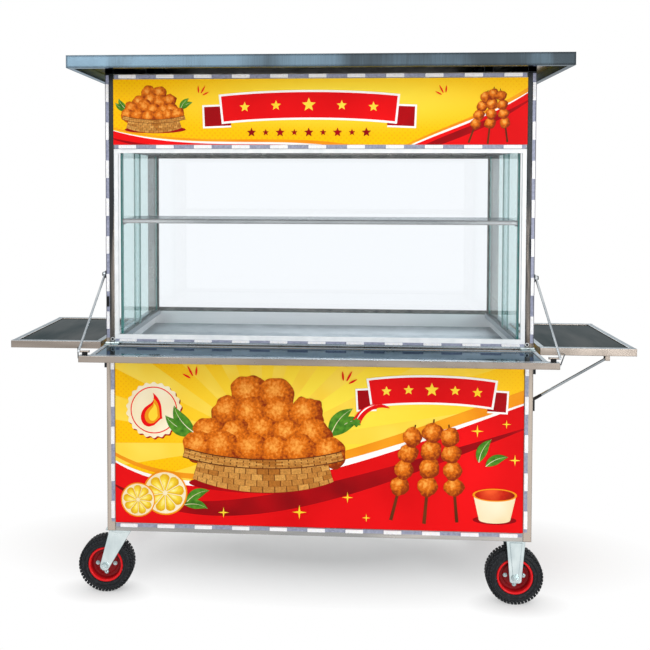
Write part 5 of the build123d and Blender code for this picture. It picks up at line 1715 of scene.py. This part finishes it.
@dataclass
class CartFrame:
    """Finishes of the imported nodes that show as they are."""

    yellow: tuple[str, str, str] = ("ffc300", "ffe648", "f6a508")

    def board(self, name: str, node: str, along: Axis) -> VinylBoard:
        """Centre the printed ground of one board on its node.

        Args:
            name: Name of the material.
            node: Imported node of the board.
            along: Axis of the board's width.

        Returns:
            The board's finish.
        """
        low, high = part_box(node)
        size = (high - low) * PER_MM
        half = (size[along.value] / 2, size.z / 2)
        return VinylBoard(name, *self.yellow, tuple((low + high) / 2 * PER_MM), along, half)

    def finishes(self) -> dict[str, Finish]:
        """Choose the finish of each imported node.

        Returns:
            The finishes by node.
        """
        plain: dict[Finish, str] = {
            FRAME_STEEL: "corner_posts",
            RAIL_STEEL: "base_rails lintel_rails crown_rails",
            BACK_STEEL: "sign_back",
            COUNTER_STEEL: "counter_rails",
            ROOF_STEEL: "roof_cover",
            LINING: "roof_soffit",
            BEARER_STEEL: "roof_bearers",
            CEILING_STEEL: "ceiling_panel corner_gussets",
            TABLE_STEEL: "flap_frame left_shelf_frame right_shelf_frame",
            TOP_STEEL: "flap_sheet",
            WING_STEEL: "left_shelf_sheet right_shelf_sheet",
            DECK_STEEL: "deck_tray base_floor",
            SHELF_STEEL: "display_shelf shelf_brackets",
            DOOR_STEEL: "left_door right_door",
            ROD_STEEL: "left_stay right_stay corner_links",
            STRUT_STEEL: "left_strut right_struts",
            ZINC: "caster_plates rigid_forks front_swivel_fork rear_swivel_fork flap_hinges "
                  "flap_hinge_leaves shelf_hinges",
            BRACKET_STEEL: "side_brackets",
            BEAD_COAT: "glazing_beads",
            TRACK_ALLOY: "sliding_tracks",
            TAPE: "light_strips",
            MODULE: "light_modules",
            BLACK: "shelf_bolts flap_catch",
            RUBBER_PAD: "keeper_pads",
            PANE_Y: "front_glass rear_glass",
            PANE_X: "fixed_side_panes left_sliding_pane right_sliding_pane",
        }
        found: dict[str, Finish] = {node: finish for finish, nodes in plain.items() for node in nodes.split()}
        found["front_panel"] = self.board("vinyl_front_board", "front_panel", Axis.X)
        found["sign_panel"] = self.board("vinyl_sign_board", "sign_panel", Axis.X)
        found["side_panels"] = self.board("vinyl_side_boards", "side_panels", Axis.Y)
        found["side_signs"] = self.board("vinyl_side_signs", "side_signs", Axis.Y)
        return found

    def dress(self) -> None:
        """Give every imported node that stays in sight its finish."""
        for node, finish in self.finishes().items():
            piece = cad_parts[node]
            piece.data.materials.clear()
            piece.data.materials.append(finish.material())
            LOG.info("%s: %s", node, finish.name)


@dataclass(frozen=True)
class Lamp:
    """A round soft lamp: its place in metres, its width and its power in watts."""

    name: str
    place: tuple[float, float, float]
    width_m: float
    power: float

    def hang(self, aim: Vector) -> None:
        """Put the lamp up.

        Args:
            aim: The point that it faces.
        """
        lamp = bpy.data.lights.new(self.name, "AREA")
        lamp.shape = "DISK"
        lamp.size = self.width_m
        lamp.energy = self.power
        holder = bpy.data.objects.new(self.name, lamp)
        holder.location = self.place
        holder.rotation_euler = (aim - Vector(self.place)).to_track_quat("-Z", "Y").to_euler()
        bpy.context.scene.collection.objects.link(holder)


@dataclass
class Studio:
    """White floor and surroundings, soft lamps and the photograph's camera, with its turns in radians."""

    floor_m: float = 60.0
    fill: float = 0.72
    aim: tuple[float, float, float] = (0.0, 0.0, 0.9)
    lamps: tuple[Lamp, ...] = (Lamp("key", (-2.6, -4.4, 4.4), 3.2, 70.0),
                               Lamp("front", (3.7, -4.7, 1.3), 2.6, 122.0),
                               Lamp("back", (0.6, 3.8, 4.0), 3.4, 70.0))
    eye: tuple[float, float, float] = (0.0764, -2.7213, 1.4929)
    yaw: float = -0.0511
    pitch: float = 0.0283
    roll: float = 0.0024
    lens_mm: float = 38.95
    sensor_mm: float = 36.0
    shift: Pair = (0.0336, -0.188)
    nearest_m: float = 0.05

    def surroundings(self) -> None:
        """Make the world white for the eye and softer as light."""
        world = bpy.data.worlds.new("studio")
        bpy.context.scene.world = world
        world.use_nodes = True
        tree = world.node_tree
        tree.nodes.clear()
        soft = add_node(tree, "Background", {"Color": "ffffff", "Strength": self.fill})
        white = add_node(tree, "Background", {"Color": "ffffff", "Strength": 1.0})
        both = add_node(tree, "MixShader", {0: seen(tree), 1: soft, 2: white})
        add_node(tree, "OutputWorld", {0: both})

    def floor(self) -> None:
        """Lay the floor."""
        mesh = bmesh.new()
        bmesh.ops.create_grid(mesh, x_segments=1, y_segments=1, size=self.floor_m / 2)
        data = bpy.data.meshes.new("floor")
        mesh.to_mesh(data)
        mesh.free()
        data.materials.append(FloorPaint().material())
        piece = bpy.data.objects.new("floor", data)
        bpy.context.scene.collection.objects.link(piece)

    def camera(self) -> None:
        """Set the camera up at the photograph's place."""
        ahead = Vector((math.sin(self.yaw) * math.cos(self.pitch), math.cos(self.yaw) * math.cos(self.pitch),
                        -math.sin(self.pitch)))
        across = ahead.cross(UP).normalized()
        above = across.cross(ahead)
        side = across * math.cos(self.roll) + above * math.sin(self.roll)
        top = above * math.cos(self.roll) - across * math.sin(self.roll)
        data = bpy.data.cameras.new("camera")
        data.sensor_width = self.sensor_mm
        data.sensor_fit = "HORIZONTAL"
        data.lens = self.lens_mm
        data.shift_x, data.shift_y = self.shift
        data.clip_start = self.nearest_m
        holder = bpy.data.objects.new("camera", data)
        turn = Matrix((side, top, -ahead)).transposed().to_4x4()
        holder.matrix_world = Matrix.Translation(self.eye) @ turn
        bpy.context.scene.collection.objects.link(holder)
        bpy.context.scene.camera = holder

    def build(self) -> None:
        """Set up the whole studio."""
        self.surroundings()
        self.floor()
        for lamp in self.lamps:
            lamp.hang(Vector(self.aim))
        self.camera()
        bpy.context.scene.view_settings.view_transform = "Standard"


def main() -> None:
    """Dress the cart, build its visual pieces and set up the studio."""
    logging.basicConfig(level=logging.INFO, format="%(name)s %(message)s")
    Studio().build()
    CartFrame().dress()
    Prints().build()
    LightLenses().build()
    for row in ("front", "rear"):
        Wheel(f"{row}_left", f"{row}_left_wheel").build()
        Wheel(f"{row}_right", f"{row}_right_wheel").build()
        AxleNuts(f"{row}_left", f"{row}_swivel", SWIVEL_LEG_MM).build()
        AxleNuts(f"{row}_right", FRAME_BODY, RIGID_LEG_MM).build()
    HingeScrews().build()
    StrutSleeves("left_strut", "left_strut").build()
    StrutSleeves("right_struts", "right_struts").build()


if __name__ == "__main__":
    main()
